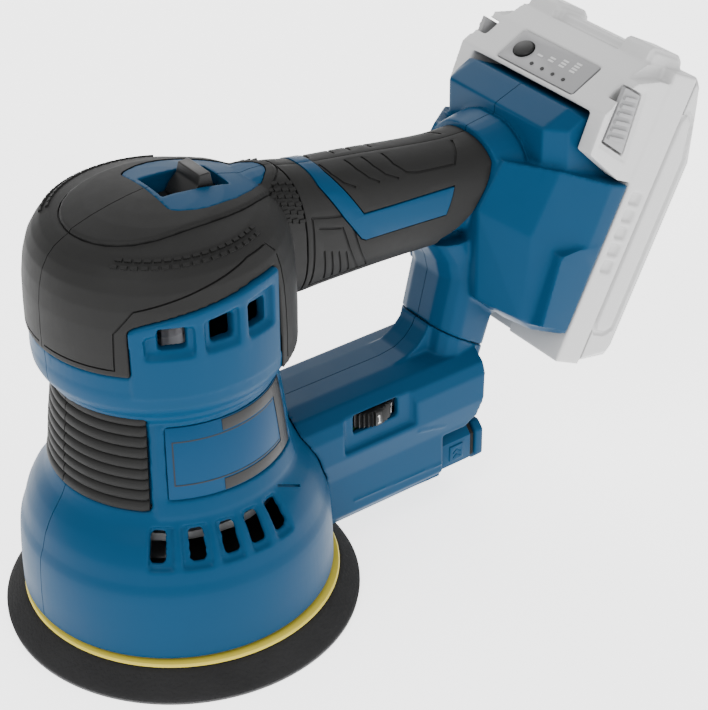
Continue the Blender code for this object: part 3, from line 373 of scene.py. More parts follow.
def plastic(name, colour, roughness, size=1800.0, depth=0.35, bump=0.02, tone=0.14, spread=0.14, dust=0.05,
            metallic=0.0, coat=0.0, sheen=0.0, shine=0.5, grain_distance=0.05):
    """A moulded or machined finish with grain, tone variation, handling marks and a little dust."""
    finish = bpy.data.materials.new(name)
    finish.use_nodes = True
    tree = finish.node_tree
    shader = tree.nodes["Principled BSDF"]
    for label, value in (("Metallic", metallic), ("Coat Weight", coat), ("Coat Roughness", 0.2),
                         ("Sheen Weight", sheen), ("Specular IOR Level", shine)):
        shader.inputs[label].default_value = value
    grain = tree.nodes.new("ShaderNodeGroup")
    grain.node_tree = GROUPS["grain"]
    for label, value in (("Size", size), ("Depth", depth), ("Tone", tone), ("Base Roughness", roughness),
                         ("Spread", spread)):
        grain.inputs[label].default_value = value
    settled = tree.nodes.new("ShaderNodeGroup")
    settled.node_tree = GROUPS["dust"]
    settled.inputs["Amount"].default_value = dust
    base = tree.nodes.new("ShaderNodeMix")
    base.data_type = "RGBA"
    base.blend_type = "MULTIPLY"
    base.inputs["Factor"].default_value = 1.0
    base.inputs["A"].default_value = (*colour, 1.0)
    grey = tree.nodes.new("ShaderNodeCombineColor")
    for label in ("Red", "Green", "Blue"):
        link(tree, grain.outputs["Tone"], grey.inputs[label])
    link(tree, grey.outputs["Color"], base.inputs["B"])
    dusty = tree.nodes.new("ShaderNodeMix")
    dusty.data_type = "RGBA"
    dusty.inputs["B"].default_value = (0.55, 0.54, 0.52, 1.0)
    link(tree, settled.outputs["Mask"], dusty.inputs["Factor"])
    link(tree, base.outputs["Result"], dusty.inputs["A"])
    link(tree, dusty.outputs["Result"], shader.inputs["Base Color"])
    link(tree, grain.outputs["Roughness"], shader.inputs["Roughness"])
    relief = tree.nodes.new("ShaderNodeBump")
    relief.inputs["Strength"].default_value = bump * 10.0
    relief.inputs["Distance"].default_value = grain_distance * MM
    link(tree, grain.outputs["Height"], relief.inputs["Height"])
    link(tree, relief.outputs["Normal"], shader.inputs["Normal"])
    return finish


FINISH = {}


def make_finishes(colours):
    """Every finish on the machine, by material slot."""
    GROUPS["grain"] = make_grain_group()
    GROUPS["dust"] = make_dust_group()
    blue, black, pale = (tuple(colour) for colour in (colours.blue, colours.black, colours.pale))
    FINISH.update(
        blue_housing=plastic("blue moulding", blue, 0.42, shine=0.09, dust=0.002),
        black_grip=plastic("black soft grip", black, 0.6, size=1500.0, depth=0.6, bump=0.05, spread=0.2, shine=0.16,
                      dust=0.008),
        black_plastic=plastic("black moulding", (0.008, 0.008, 0.008), 0.4, shine=0.25, dust=0.004),
        black_rubber=plastic("black rubber", (0.008, 0.008, 0.008), 0.7, depth=0.5, bump=0.05, shine=0.12,
                       dust=0.01),
        side_plate=plastic("tinted side plate", (0.0, 0.036, 0.092), 0.38, tone=0.05, shine=0.1, dust=0.002),
        foam=plastic("pad foam", (0.014, 0.014, 0.0145), 0.95, size=900.0, depth=1.0, bump=0.1, tone=0.8, dust=0.02,
                     shine=0.1, grain_distance=0.4),
        hook_face=plastic("hook face", (0.04, 0.04, 0.042), 0.9, size=1400.0, depth=1.0, bump=0.1, sheen=0.3,
                     grain_distance=0.4),
        yellow_plate=plastic("yellow backing plate", (0.58, 0.47, 0.05), 0.42, tone=0.1, shine=0.2, dust=0.02),
        steel=plastic("turned steel", (0.55, 0.55, 0.57), 0.3, metallic=1.0, size=900.0),
        cast_metal=plastic("die cast metal", (0.55, 0.56, 0.57), 0.45, metallic=1.0, size=700.0, bump=0.04),
        board=plastic("lacquered board", (0.03, 0.18, 0.08), 0.35, coat=0.3),
        brass=plastic("brass blade", (0.7, 0.5, 0.2), 0.3, metallic=1.0),
        pale_case=plastic("pale pack case", pale, 0.45, tone=0.05, dust=0.0),
        grey_plastic=plastic("grey pack trim", (0.24, 0.24, 0.245), 0.5, tone=0.06, dust=0.0),
        cell_can=plastic("cell sleeve", (0.08, 0.26, 0.5), 0.3, coat=0.3),
    )


def dress_frame():
    """Give every piece of the frame the finish of its slot."""
    for part in frame["record"]["subparts"]:
        node = frame["nodes"][part["node"]]
        node.data.materials.clear()
        node.data.materials.append(FINISH[part["material_slot"]])


# ---------------------------------------------------------------- settings

class MachineColours(bpy.types.PropertyGroup):
    """Colours of the mouldings."""
    blue: bpy.props.FloatVectorProperty(name="Housing", description="Colour of the main mouldings",
                                        subtype="COLOR", default=(0.0, 0.036, 0.088), min=0.0, max=1.0)
    black: bpy.props.FloatVectorProperty(name="Soft grip", description="Colour of the soft covers and grips",
                                         subtype="COLOR", default=(0.009, 0.009, 0.0088), min=0.0, max=1.0)
    pale: bpy.props.FloatVectorProperty(name="Battery case", description="Colour of the battery case",
                                        subtype="COLOR", default=(0.48, 0.48, 0.48), min=0.0, max=1.0)


class MachineStage(bpy.types.PropertyGroup):
    """Camera and light."""
    lens: bpy.props.FloatProperty(name="Lens", description="Focal length of the camera in millimetres",
                                  default=106.25, min=10.0, max=500.0)
    key: bpy.props.FloatProperty(name="Main light", description="Power of the main light", default=9.0, min=0.0,
                                 subtype="POWER")
    fill: bpy.props.FloatProperty(name="Fill light", description="Power of the fill light", default=5.0, min=0.0,
                                  subtype="POWER")


# ---------------------------------------------------------------- shapes that several pieces share

BARREL = [(54.3, 13.2), (54.2, 25.0), (53.8, 33.0), (53.2, 39.0), (51.9, 42.6), (50.6, 47.4), (49.4, 50.4),
          (46.9, 55.0), (43.3, 60.0), (40.9, 65.0), (40.0, 70.0), (39.0, 80.0), (37.6, 90.0), (36.9, 95.6)]
LIP = [(37.6, 97.6), (39.6, 99.6), (40.0, 101.4), (42.2, 104.0), (43.3, 106.4), (43.6, 109.5)]
CAP = [(44.1, 105.6), (44.3, 118.0), (44.2, 126.0), (43.8, 135.0), (42.9, 141.5), (41.4, 146.8), (39.2, 150.6),
       (36.5, 153.3), (32.6, 155.4), (27.6, 157.0), (21.6, 158.8), (15.0, 160.2), (8.0, 161.3), (3.0, 161.8)]
CAP_PEAK = 161.9
CAP_WALL = 2.0
WALL = 2.6
GAP = 0.3
NECK_LINE = 46.0
BAND_START, BAND_END = 45.0, 118.0
WINDOWS = [(57.0, 69.5), (80.0, 91.0), (99.0, 109.5)]
WINDOW_LOW, WINDOW_HIGH = 127.5, 136.0
SKIRT_VENTS = [51.5, 67.5, 81.5, 93.5, 105.5]
HANDLE = [(22.0, 154.5, 116.0, 19.0), (36.0, 156.0, 110.5, 18.6), (46.0, 154.6, 108.0, 18.0),
          (57.0, 151.8, 108.0, 17.8), (79.0, 148.3, 107.5, 17.6), (98.0, 145.0, 106.6, 17.6),
          (115.0, 142.5, 105.5, 17.8), (129.0, 142.0, 104.0, 18.4)]
INLAY = [(54.6, 160.0), (60.4, 160.0), (60.6, 150.4), (64.3, 144.5), (69.5, 135.6), (80.7, 134.7),
         (108.2, 132.9), (104.1, 124.0), (69.8, 126.2), (68.2, 127.2), (61.7, 136.9), (55.3, 148.6)]
GRIP_END = [(126.6, 170.0), (126.2, 136.0), (122.4, 130.0), (115.5, 120.5), (110.0, 116.0), (104.0, 113.0),
            (103.0, 90.0)]
BEZEL = [(-3.2, 0.0), (-3.2, 13.5), (-2.6, 14.9), (-1.0, 16.2), (4.0, 18.0), (8.0, 18.5), (12.0, 18.2),
         (20.0, 16.6), (28.0, 13.0), (36.0, 7.6), (40.0, 3.6), (41.0, 1.6), (41.4, 0.0)]
WELL_FRONT, WELL_REAR, WELL_HALF, WELL_BOTTOM = -0.8, 23.6, 7.6, 148.6
STRUT = [(34.0, 99.0, 117.6), (47.0, 100.0, 122.2), (60.0, 102.8, 126.6), (74.0, 105.8, 131.4),
         (92.0, 110.2, 138.0), (99.0, 108.6, 140.0), (108.0, 103.6, 141.0)]
HANDLE_SIDES, FULLNESS = 44, 0.82
SEAT_CORNER = (138.5, 73.2)
SEAT_LEAN = math.radians(26.5)
GAUGE_START, GAUGE_LEAN = (80.3, -20.2), math.atan2(10.2, 13.2)


def smoothed(points, count):
    """A finer run of points on a smooth curve through the given ones."""
    rows = [points[0]] + list(points) + [points[-1]]
    fine = []
    for a, b, c, d in zip(rows, rows[1:], rows[2:], rows[3:]):
        for step in range(count):
            t = step / count
            fine.append(tuple(0.5 * (2 * q + (r - p) * t + (2 * p - 5 * q + 4 * r - s) * t * t
                                     + (3 * q - p - 3 * r + s) * t ** 3) for p, q, r, s in zip(a, b, c, d)))
    return fine + [tuple(points[-1])]


def radius_at(profile, height, beyond):
    """Radius of a profile of (radius, height) at a height, or the one beyond its ends."""
    for (r1, z1), (r2, z2) in zip(profile, profile[1:]):
        if z1 <= height <= z2:
            return r1 + (r2 - r1) * (height - z1) / (z2 - z1)
    return beyond


def outer_radius(height):
    """Outer radius of the blue barrel and skirt at a height."""
    return radius_at(BARREL, height, BARREL[-1][0])


def on_skin(levels, lift):
    """Points of the barrel's profile at these heights, lifted off its skin."""
    return [(outer_radius(z) + lift, z) for z in levels]


def cap_radius(height):
    """Outer radius of the black head covers at a height."""
    return radius_at(CAP, height, CAP[0][0])


def around(angle, radius, height, side=-1):
    """A point at an angle in degrees round from the front of the head, on the left (-1) or right (1)."""
    turn = math.radians(angle)
    return (-radius * math.cos(turn), side * radius * math.sin(turn), height)


def wrapped(name, profile, start, end, side=-1, step=2.5):
    """A closed profile of (radius, height), fixed or given by angle, carried part of the way round the head."""
    count = max(1, math.ceil((end - start) / step))
    angles = [start + (end - start) * i / count for i in range(count + 1)]
    return lofted(name, [[around(a, r, z, side) for r, z in (profile(a) if callable(profile) else profile)]
                         for a in angles])


def seat_point(up, back):
    """The (x, z) place of a point given along the battery slide and rearwards from the seat's corner."""
    return (SEAT_CORNER[0] + up * math.sin(SEAT_LEAN) + back * math.cos(SEAT_LEAN),
            SEAT_CORNER[1] + up * math.cos(SEAT_LEAN) - back * math.sin(SEAT_LEAN))


def seat_pushed(name, outline, low, high):
    """An outline in the seat's axes, pushed across the machine."""
    return pushed(name, [seat_point(up, back) for up, back in outline], low, high, "Y")


def oval(turn, wide, tall):
    """A point at an angle in radians on a section that is fuller than an ellipse."""
    c, s = math.cos(turn), math.sin(turn)
    return wide * math.copysign(abs(c) ** FULLNESS, c), tall * math.copysign(abs(s) ** FULLNESS, s)


def handle_ring(x, top, bottom, half, inset):
    """A rounded section of the handle."""
    middle, tall, wide = (top + bottom) / 2, (top - bottom) / 2 - inset, half - inset
    spots = [oval(math.tau * (i + 0.5) / HANDLE_SIDES, wide, tall) for i in range(HANDLE_SIDES)]
    return [(x, y, middle + z) for y, z in spots]


def handle_body(name, inset, rear=0.0):
    """The handle from inside the head to inside the seat, drawn in by inset all round."""
    stations = smoothed(HANDLE, 3)
    if rear:
        last = stations[-1]
        stations.append((last[0] + rear, last[1] - 2.0, last[2], last[3]))
    return lofted(name, [handle_ring(*station, inset) for station in stations])


def handle_surface(x, turn):
    """A point on the handle's skin at a distance back and an angle up from the left side, and its outward way."""
    rows = smoothed(HANDLE, 6)
    before, after = next((a, b) for a, b in zip(rows, rows[1:]) if a[0] <= x <= b[0])
    share = (x - before[0]) / (after[0] - before[0])
    top, bottom, half = (p + (q - p) * share for p, q in zip(before[1:], after[1:]))
    turn = math.radians(turn)
    across, rise = oval(turn, half, (top - bottom) / 2)
    return Vector((x, -across, (top + bottom) / 2 + rise)), Vector((0.0, -math.cos(turn), math.sin(turn)))


def cap_body(name, inset, bottom, rear=0.0):
    """The rounded top of the head together with the handle, drawn in by inset."""
    profile = [(0.0, bottom), (CAP[0][0] - inset, bottom)]
    profile += [(r - inset, z - inset * (0.2 if r > 41.0 else 1.0)) for r, z in CAP[1:]]
    profile.append((0.0, CAP_PEAK - inset))
    return combine(turned(name, profile, steps=120), "UNION", handle_body(name + " handle", inset, rear))


def band_top(angle):
    """Upper edge of the vent band, which rises towards the rear."""
    share = min(1.0, max(0.0, (angle - BAND_START) / 58.0))
    return 134.5 + 9.0 * share ** 0.6


def strut_ring(level, front, rear, inset):
    """A section of the strut between the arm and the seat."""
    front, rear = front + inset, rear - inset
    flat, half, back = 6.8 - inset * 0.5, 15.2 - inset, 12.0 - inset * 0.8
    left = [(front, flat), (front + 2.0, flat + 4.4), (front + 4.6, half - 1.6), (front + 9.0, half),
            (rear - 3.0, half - 1.0), (rear - 0.8, back + 0.9), (rear, back - 1.0)]
    return [(x, y, level) for x, y in left] + [(x, -y, level) for x, y in left[::-1]]


def strut_body(name, inset, low=STRUT[0][0], high=STRUT[-1][0]):
    """The strut from one level to another, drawn in by inset."""
    rows = [(low, *STRUT[0][1:]), *STRUT[1:-1], (high, *STRUT[-1][1:])]
    return lofted(name, [strut_ring(*row, inset) for row in rows])


def grown(outline, amount):
    """An outline pushed out square to its edges."""
    count = len(outline)
    area = sum(outline[i][0] * outline[(i + 1) % count][1] - outline[(i + 1) % count][0] * outline[i][1]
               for i in range(count))
    sign = 1.0 if area > 0 else -1.0
    wider = []
    for i in range(count):
        before, here, after = (Vector(outline[(i + k) % count]) for k in (-1, 0, 1))
        first, second = (here - before).normalized(), (after - here).normalized()
        normal = Vector((first.y + second.y, -first.x - second.x)).normalized() * sign
        lean = max(0.5, normal.dot(Vector((first.y, -first.x)) * sign))
        wider.append(tuple(here + normal * (amount / lean)))
    return wider


def ribbon(name, path, wide, deep, tip=1.0):
    """A straight-sided strip along a path of (point, outward way), standing deep to both sides of the skin."""
    rings = []
    for i, (point, out) in enumerate(path):
        ahead = Vector(path[min(i + 1, len(path) - 1)][0]) - Vector(path[max(i - 1, 0)][0])
        side = ahead.cross(Vector(out)).normalized() * (wide / 2)
        out = Vector(out).normalized() * deep
        point = Vector(point)
        rings.append([tuple(corner) for corner in (point - side - out, point + side - out,
                                                   point + side * tip + out, point - side * tip + out)])
    return lofted(name, rings)


def stepped(stops, reach):
    """Even steps along straight runs between stops, none longer than reach in either direction."""
    for (a1, b1), (a2, b2) in zip(stops, stops[1:]):
        count = max(1, math.ceil(max(abs(a2 - a1) / reach[0], abs(b2 - b1) / reach[1])))
        for i in range(count):
            yield a1 + (a2 - a1) * i / count, b1 + (b2 - b1) * i / count
    yield stops[-1]


def head_path(stops, side=-1):
    """A path on the head's skin through stops of (angle, height)."""
    return [(around(a, cap_radius(z), z, side), around(a, 1.0, 0.0, side)) for a, z in stepped(stops, (3.0, 3.0))]


def grip_path(stops, side=-1):
    """A path on the handle's skin through stops of (distance back, angle up from the side)."""
    path = [handle_surface(x, turn) for x, turn in stepped(stops, (3.0, 9.0))]
    return [(Vector((p.x, -side * p.y, p.z)), Vector((o.x, -side * o.y, o.z))) for p, o in path]


# ---------------------------------------------------------------- pad

PAD_AXIS, PAD_STEPS = (1.25, 0.0), 128


def ring_of_rods(name, count, circle, radius, high):
    """Upright rods standing evenly on a circle about the pad's axis, from under the pad to a height."""
    rods = []
    for i in range(count):
        angle = math.tau * (i + 0.5) / count
        place = (PAD_AXIS[0] + circle * math.cos(angle), PAD_AXIS[1] + circle * math.sin(angle))
        rods.append(turned(f"{name} {i}", [(0.0, -3.0), (radius, -3.0), (radius, high), (0.0, high)], place, 24))
    return joined(*rods)


def pad_holes(name):
    """The dust holes and the sockets of the pad screws."""
    return joined(ring_of_rods(name, 8, 32.5, 4.5, 20.0), ring_of_rods(name, 4, 9.0, 3.7, 10.1))


class DAM_OT_pad(bpy.types.Operator):
    """Hook face, foam and backing plate"""
    bl_idname = "dam.pad"
    bl_label = "Pad"

    def execute(self, context):
        hook = turned("hook face", [(0.0, 0.0), (61.6, 0.0), (62.2, 0.3), (62.2, 1.0), (62.0, 1.2), (0.0, 1.2)],
                      PAD_AXIS, PAD_STEPS)
        combine(hook, "DIFFERENCE", pad_holes("hook holes"))
        placed(shaded(hook), "pad", "hook_face", "hook_disc")
        foam = turned("foam disc", [(0.0, 1.5), (62.1, 1.5), (62.5, 1.9), (62.5, 2.9), (62.1, 3.7), (59.6, 6.2),
                                    (56.8, 9.0), (55.6, 9.9), (54.6, 10.0), (0.0, 10.0)], PAD_AXIS, PAD_STEPS)
        combine(foam, "DIFFERENCE", pad_holes("foam holes"))
        placed(shaded(foam, 50.0), "pad", "foam", "foam_pad")
        plate = turned("backing disc", [(0.0, 10.3), (55.1, 10.3), (55.4, 10.6), (55.4, 11.1), (55.0, 11.6),
                                        (54.2, 11.8), (53.0, 11.9), (50.4, 11.9), (49.8, 11.5), (47.0, 11.5),
                                        (46.4, 12.0), (18.0, 12.0), (16.4, 14.0), (15.0, 17.9), (0.0, 17.9)],
                       PAD_AXIS, PAD_STEPS)
        webs = []
        for i in range(8):
            turn = math.tau * i / 8
            ends = [(PAD_AXIS[0] + r * math.cos(turn), r * math.sin(turn), 12.0) for r in (16.0, 45.5)]
            webs.append(ribbon(f"web {i}", [(end, (0.0, 0.0, 1.0)) for end in ends], 1.6, 2.4))
        combine(plate, "UNION", *webs)
        combine(plate, "DIFFERENCE", pad_holes("plate holes"))
        placed(shaded(plate), "pad", "yellow_plate", "backing_plate")
        return {"FINISHED"}


# ---------------------------------------------------------------- blue housing

def barrel_recesses():
    """Recesses for the front grips, the side plates, the vents and the windows, as cutters."""
    recesses = (
        ("grip recess", on_skin((64.7, 76.0, 88.0), -2.0) + [(36.0, 99.8), (60.0, 99.8), (60.0, 64.7)], -3.0, 48.9),
        ("plate recess", on_skin((68.7, 82.0, 95.3), -0.9) + [(60.0, 95.3), (60.0, 68.7)], 56.5, 135.5),
        ("vent bay", on_skin((48.0, 50.4, 55.0, 60.2), -1.5) + [(64.0, 60.2), (64.0, 44.0)], 48.0, 109.5),
        ("window bay", lambda a: [(42.0, 126.6), (42.0, band_top(a) - 5.0), (46.0, band_top(a) - 3.0),
                                  (46.0, 122.6)], 51.5, 112.5))
    return [wrapped(*recess, side) for side in (-1, 1) for recess in recesses]


def side_zones():
    """The raised flats round the side plates, with sloping front and rear edges."""
    def zone(angle):
        rise = 0.8 * min(1.0, (angle - 50.0) / 2.5, (139.0 - angle) / 2.5) - 0.1
        skin = on_skin((61.5,), -0.4) + on_skin((63.5, 70.0, 80.0, 90.0, 95.6), rise) + on_skin((97.4,), -0.4)
        return skin + [(skin[-1][0] - 2.0, 97.4), (outer_radius(80.0) - 2.0, 80.0), (skin[0][0] - 2.0, 61.5)]
    return [wrapped("side zone", zone, 50.0, 139.0, side) for side in (-1, 1)]


def skirt_slit(side):
    """The thin oblique slit behind the last vent."""
    stops = ((112.5, 61.0), (115.5, 59.8), (118.5, 58.5), (121.5, 57.2), (124.5, 55.8))
    path = [(around(angle, outer_radius(height), height, side), around(angle, 1.0, 0.6, side))
            for angle, height in stops]
    return ribbon("slit", path, 0.9, 1.0)


def barrel_ribs():
    """The fins between the vents and the posts between the windows."""
    fin = on_skin((44.4, 47.4, 50.4, 55.0, 59.8), -0.1) + [(40.0, 59.8), (46.0, 44.4)]

    def post(angle):
        top = band_top(angle) - 2.6
        return [(44.1, 122.4), (43.9, top), (41.0, top), (41.0, 122.4)]
    ribs = []
    for side in (-1, 1):
        for middle in [(a + b) / 2 for a, b in zip(SKIRT_VENTS, SKIRT_VENTS[1:])]:
            ribs.append(wrapped("fin", fin, middle - 1.7, middle + 1.7, side))
        for middle in (74.7, 95.0):
            ribs.append(wrapped("post", post, middle - 2.2, middle + 2.2, side))
    return ribs


def barrel_openings():
    """The holes through the skirt and through the band."""
    holes = []
    for side in (-1, 1):
        for middle in SKIRT_VENTS:
            holes.append(wrapped("vent", oblong(36.0, 64.0, 49.5, 58.5), middle - 3.1, middle + 3.1, side))
        for start, end in WINDOWS:
            holes.append(wrapped("window", oblong(30.0, 60.0, WINDOW_LOW, WINDOW_HIGH), start, end, side))
    return joined(*holes)


def seat_rows(rows):
    """Sections of the seat, given for one side, laid out across the machine."""
    rows = rows + [(-y, section) for y, section in rows[::-1]]
    return [[(x, y, z) for x, z in section] for y, section in rows]


def seat_wings():
    """The wide part of the battery seat."""
    p = seat_point
    inner = [(117.0, 86.0), (117.0, 121.5), (128.0, 137.5), p(58.0, 5.2), p(0.0, 5.2), (139.0, 72.6), (131.0, 72.6)]
    middle = [(126.5, 80.0), (130.5, 112.0), (143.0, 134.0), p(58.0, 5.2), p(0.0, 5.2), (139.0, 73.0), (133.0, 73.0)]
    outer = [p(2.5, -1.5), p(28.0, -2.0), p(57.0, -3.0), p(58.0, 5.2), p(0.0, 5.2), p(0.0, 3.7), p(0.0, 2.2)]
    return lofted("seat wings", seat_rows([(-39.0, outer), (-32.0, middle), (-19.0, inner)]))


def seat_facets():
    """The raised lower facets on the outside of the wings."""
    p = seat_point
    facets = []
    for side in (-1, 1):
        ring = [p(1.5, -9.0), p(28.0, -13.5), p(32.0, -6.0), p(34.5, 3.6), p(1.0, 4.6)]
        near, far = side * 33.0, side * 39.2
        lean = [[(x, near, z) for x, z in grown(ring, 1.6)], [(x, far, z) for x, z in ring]]
        facets.append(lofted("seat facet", lean))
    return facets


def seat_head():
    """The narrower upper part of the seat, between the cheeks of the pack."""
    p = seat_point
    inner = [(139.6, 100.0), (139.6, 148.6), (151.3, 152.8), p(77.4, 5.0), p(20.0, 5.0)]
    outer = [(147.0, 104.0), (147.0, 147.6), (153.5, 150.6), p(75.9, 5.0), p(22.0, 5.0)]
    return lofted("seat head", seat_rows([(-31.0, outer), (-25.5, inner)]))


def seat_collar():
    """The raised ring round the end of the handle."""
    rings = [handle_ring(x, 142.0, 104.0, 18.3, -grow)
             for x, grow in ((124.6, 1.0), (127.2, 2.0), (131.5, 2.6), (138.0, 3.4))]
    keep = [(126.9, 175.0), (126.5, 136.0), (122.7, 130.0), (115.8, 120.3), (110.2, 115.7), (104.4, 112.7),
            (103.6, 96.0), (150.0, 96.0), (150.0, 175.0)]
    return combine(lofted("seat collar", rings), "INTERSECT", pushed("collar room", keep, -40.0, 40.0, "Y"))


class DAM_OT_housing(bpy.types.Operator):
    """Both halves of the main housing: skirt, barrel, vent band, handle core, battery seat and upper strut"""
    bl_idname = "dam.housing"
    bl_label = "Housing"

    def execute(self, context):
        inset = CAP_WALL + GAP
        profile = [(0.0, 13.2), (52.0, 13.2), (53.6, 13.5)] + smoothed([(54.3, 14.6)] + BARREL[1:], 2) + LIP
        profile += [(43.6, 111.5), (41.7, 112.0), (0.0, 112.0)]
        whole = turned("housing", profile, steps=120)
        fuse(whole, "UNION", cap_body("inner cap", inset, CAP[0][1] + 1.0, rear=12.0))
        lip = [(36.0, 107.0), (43.4, 109.4), (43.6, 118.1), (38.0, 118.1)]
        fuse(whole, "UNION", wrapped("front lip", lip, -117.6, 117.6, step=4.0))
        for side in (-1, 1):
            fuse(whole, "UNION", wrapped("band", lambda a: [
                (40.2, 110.5), (43.9, 110.5), (44.1, band_top(a) - 0.7), (43.5, band_top(a)), (40.2, band_top(a))],
                BAND_START + 0.4, BAND_END - 0.8, side))
        fuse(whole, "UNION", strut_body("upper strut", 0.0), seat_wings(), *seat_facets())
        fuse(whole, "UNION", seat_head(), seat_collar())
        cavity = [(0.0, 8.0), (51.7, 8.0)] + [(r - WALL, z) for r, z in BARREL[:-1:2]]
        cavity += [(33.6, 97.0), (33.9, 101.0), (38.6, 111.5), (38.8, 124.0), (37.0, 144.0), (33.5, 148.2),
                   (25.0, 151.6), (14.0, 154.6), (0.0, 156.4)]
        fuse(whole, "UNION", *side_zones())
        fuse(whole, "DIFFERENCE", *barrel_recesses())
        fuse(whole, "UNION", *barrel_ribs())
        fuse(whole, "DIFFERENCE", turned("head room", cavity, steps=72))
        fuse(whole, "DIFFERENCE", handle_body("handle room", inset + WALL, rear=14.0))
        fuse(whole, "DIFFERENCE", strut_body("strut room", WALL, high=106.0), barrel_openings())
        fuse(whole, "DIFFERENCE", block("switch opening", (-3.8, 26.6), (-10.0, 10.0), (145.0, 170.0)))
        fuse(whole, "DIFFERENCE", seat_pushed("rail recess", oblong(7.7, 48.0, 3.0, 9.0), -12.3, 12.3))
        fuse(whole, "DIFFERENCE", block("dust port", (44.0, 62.0), (-12.0, 12.0), (18.0, 30.0)))
        kept = [(-90.0, 0.0), (80.0, 0.0), (80.0, 90.0), (104.0, 74.8), (130.0, 57.3), (134.0, 40.0), (260.0, 40.0),
                (260.0, 200.0), (-90.0, 200.0)]
        fuse(whole, "INTERSECT", pushed("above the seam", kept, -60.0, 60.0, "Y"))
        softened(whole, 0.7, 2)
        fuse(whole, "DIFFERENCE", skirt_slit(-1), skirt_slit(1))
        in_halves(whole, "housing_shell", "blue_housing", "housing")
        return {"FINISHED"}


# ---------------------------------------------------------------- black covers, grips, bezel

def bezel_plan():
    """The whole outline of the top bezel, seen from above."""
    return BEZEL + [(x, -y) for x, y in BEZEL[-2:0:-1]]


def top_panel():
    """The outline of the raised panel on top of the head, seen from above."""
    half = [(-30.5, 0.0), (-29.5, 7.0), (-26.0, 14.0), (-20.0, 19.5), (-12.0, 22.6), (-2.0, 23.6), (9.0, 23.4),
            (19.0, 21.2), (28.0, 17.0), (36.0, 11.4), (42.0, 6.0), (44.6, 2.4), (45.0, 0.0)]
    half = smoothed(half, 2)
    return half + [(x, -y) for x, y in half[-2:0:-1]]


def ring_wall(name, outline, thick, low, high):
    """A thin upright wall that follows an outline seen from above."""
    wall = pushed(name, grown(outline, thick / 2), low, high)
    return combine(wall, "DIFFERENCE", pushed(name + " inside", grown(outline, -thick / 2), low - 1.0, high + 1.0))


class DAM_OT_covers(bpy.types.Operator):
    """Black covers on the head, with their seams, raised panel and grip marks"""
    bl_idname = "dam.covers"
    bl_label = "Head covers"

    def execute(self, context):
        whole = cap_body("cover", 0.0, CAP[0][1])
        fuse(whole, "INTERSECT", block("cover room", (-60.0, NECK_LINE), (-60.0, 60.0), (100.0, 175.0)))
        panel = pushed("panel", top_panel(), 140.0, 175.0)
        fuse(panel, "INTERSECT", cap_body("lifted cap", -0.7, CAP[0][1]))
        fuse(whole, "UNION", panel)
        fuse(whole, "DIFFERENCE", cap_body("cap room", CAP_WALL, CAP[0][1] - 3.0))
        front = 44.0 * math.cos(math.radians(180.0 - BAND_END))
        fuse(whole, "DIFFERENCE", block("front room", (-60.0, front), (-60.0, 60.0), (95.0, 118.4)))
        for side in (-1, 1):
            fuse(whole, "DIFFERENCE", wrapped("band room", lambda a: oblong(36.0, 50.0, 100.0, band_top(a) + GAP),
                                              BAND_START, BAND_END, side))
        softened(whole, 0.55)
        wide = grown(bezel_plan(), GAP)
        fuse(whole, "DIFFERENCE", pushed("bezel room", wide, 140.0, 175.0))
        frame_line = [(2.0, 120.8), (39.0, 120.8), (39.5, 134.0), (48.0, 141.8), (78.0, 147.0), (104.0, 150.6),
                      (118.0, 150.6), (122.0, 147.0)]
        rear_line = [(122.0, 146.0), (122.5, 108.0)]
        fuse(whole, "DIFFERENCE", *[ribbon("line", head_path(stops, side), 0.6, 0.6)
                                    for side in (-1, 1) for stops in (frame_line, rear_line)])
        groove = ring_wall("panel line", grown(top_panel(), 0.5), 0.6, 140.0, 175.0)
        fuse(groove, "DIFFERENCE", cap_body("under the line", 0.5, 100.0))
        fuse(whole, "DIFFERENCE", groove)
        in_halves(whole, "head_shell", "black_grip", "head_cover")
        self.make_marks()
        return {"FINISHED"}

    def make_marks(self):
        """Small raised dashes in two rows round the shoulder, spreading into a patch at the neck."""
        up = (0.0, 0.0, 1.0)
        first = ribbon("dash", [((-1.1, 0.0, 0.0), up), ((1.1, 0.0, 0.0), up)], 1.5, 0.6, 0.7)
        spots = []
        for side in (-1, 1):
            for i in range(17):
                for height, shift in ((153.4, 0.0), (154.6, 1.5)):
                    slope = math.atan2(cap_radius(height - 0.6) - cap_radius(height + 0.6), 1.2)
                    turn = 38.0 + 5.0 * i + shift
                    spots.append((around(turn, cap_radius(height), height, side),
                                  around(turn, math.cos(slope), math.sin(slope), side),
                                  around(turn + 90.0, 1.0, 0.0, side)))
            for column in range(7):
                for row in range(6):
                    if column + row > 1:
                        point, out = handle_surface(28.0 + column * 2.75, 70.0 - row * 8.0 - column * 1.5)
                        spots.append(((point.x, -side * point.y, point.z), (out.x, -side * out.y, out.z),
                                      (1.0, 0.0, -0.1)))
        dashes = []
        for point, out, along in spots:
            out = Vector(out).normalized()
            across = out.cross(Vector(along)).normalized()
            dash = twin(first, "dash")
            dash.data.transform(Matrix((across.cross(out), across, out)).transposed().to_4x4())
            dash.data.transform(Matrix.Translation(Vector(point) * MM))
            dashes.append(dash)
        bpy.data.objects.remove(first)
        placed(shaded(named(joined(*dashes), "grip_marks"), 30.0), "housing", "black_grip")


def level_ring(front, rear, front_half, rear_half, height):
    """A four-cornered ring that lies level, its front edge and its rear edge of their own widths."""
    return [(front, -front_half, height), (rear, -rear_half, height), (rear, rear_half, height),
            (front, front_half, height)]


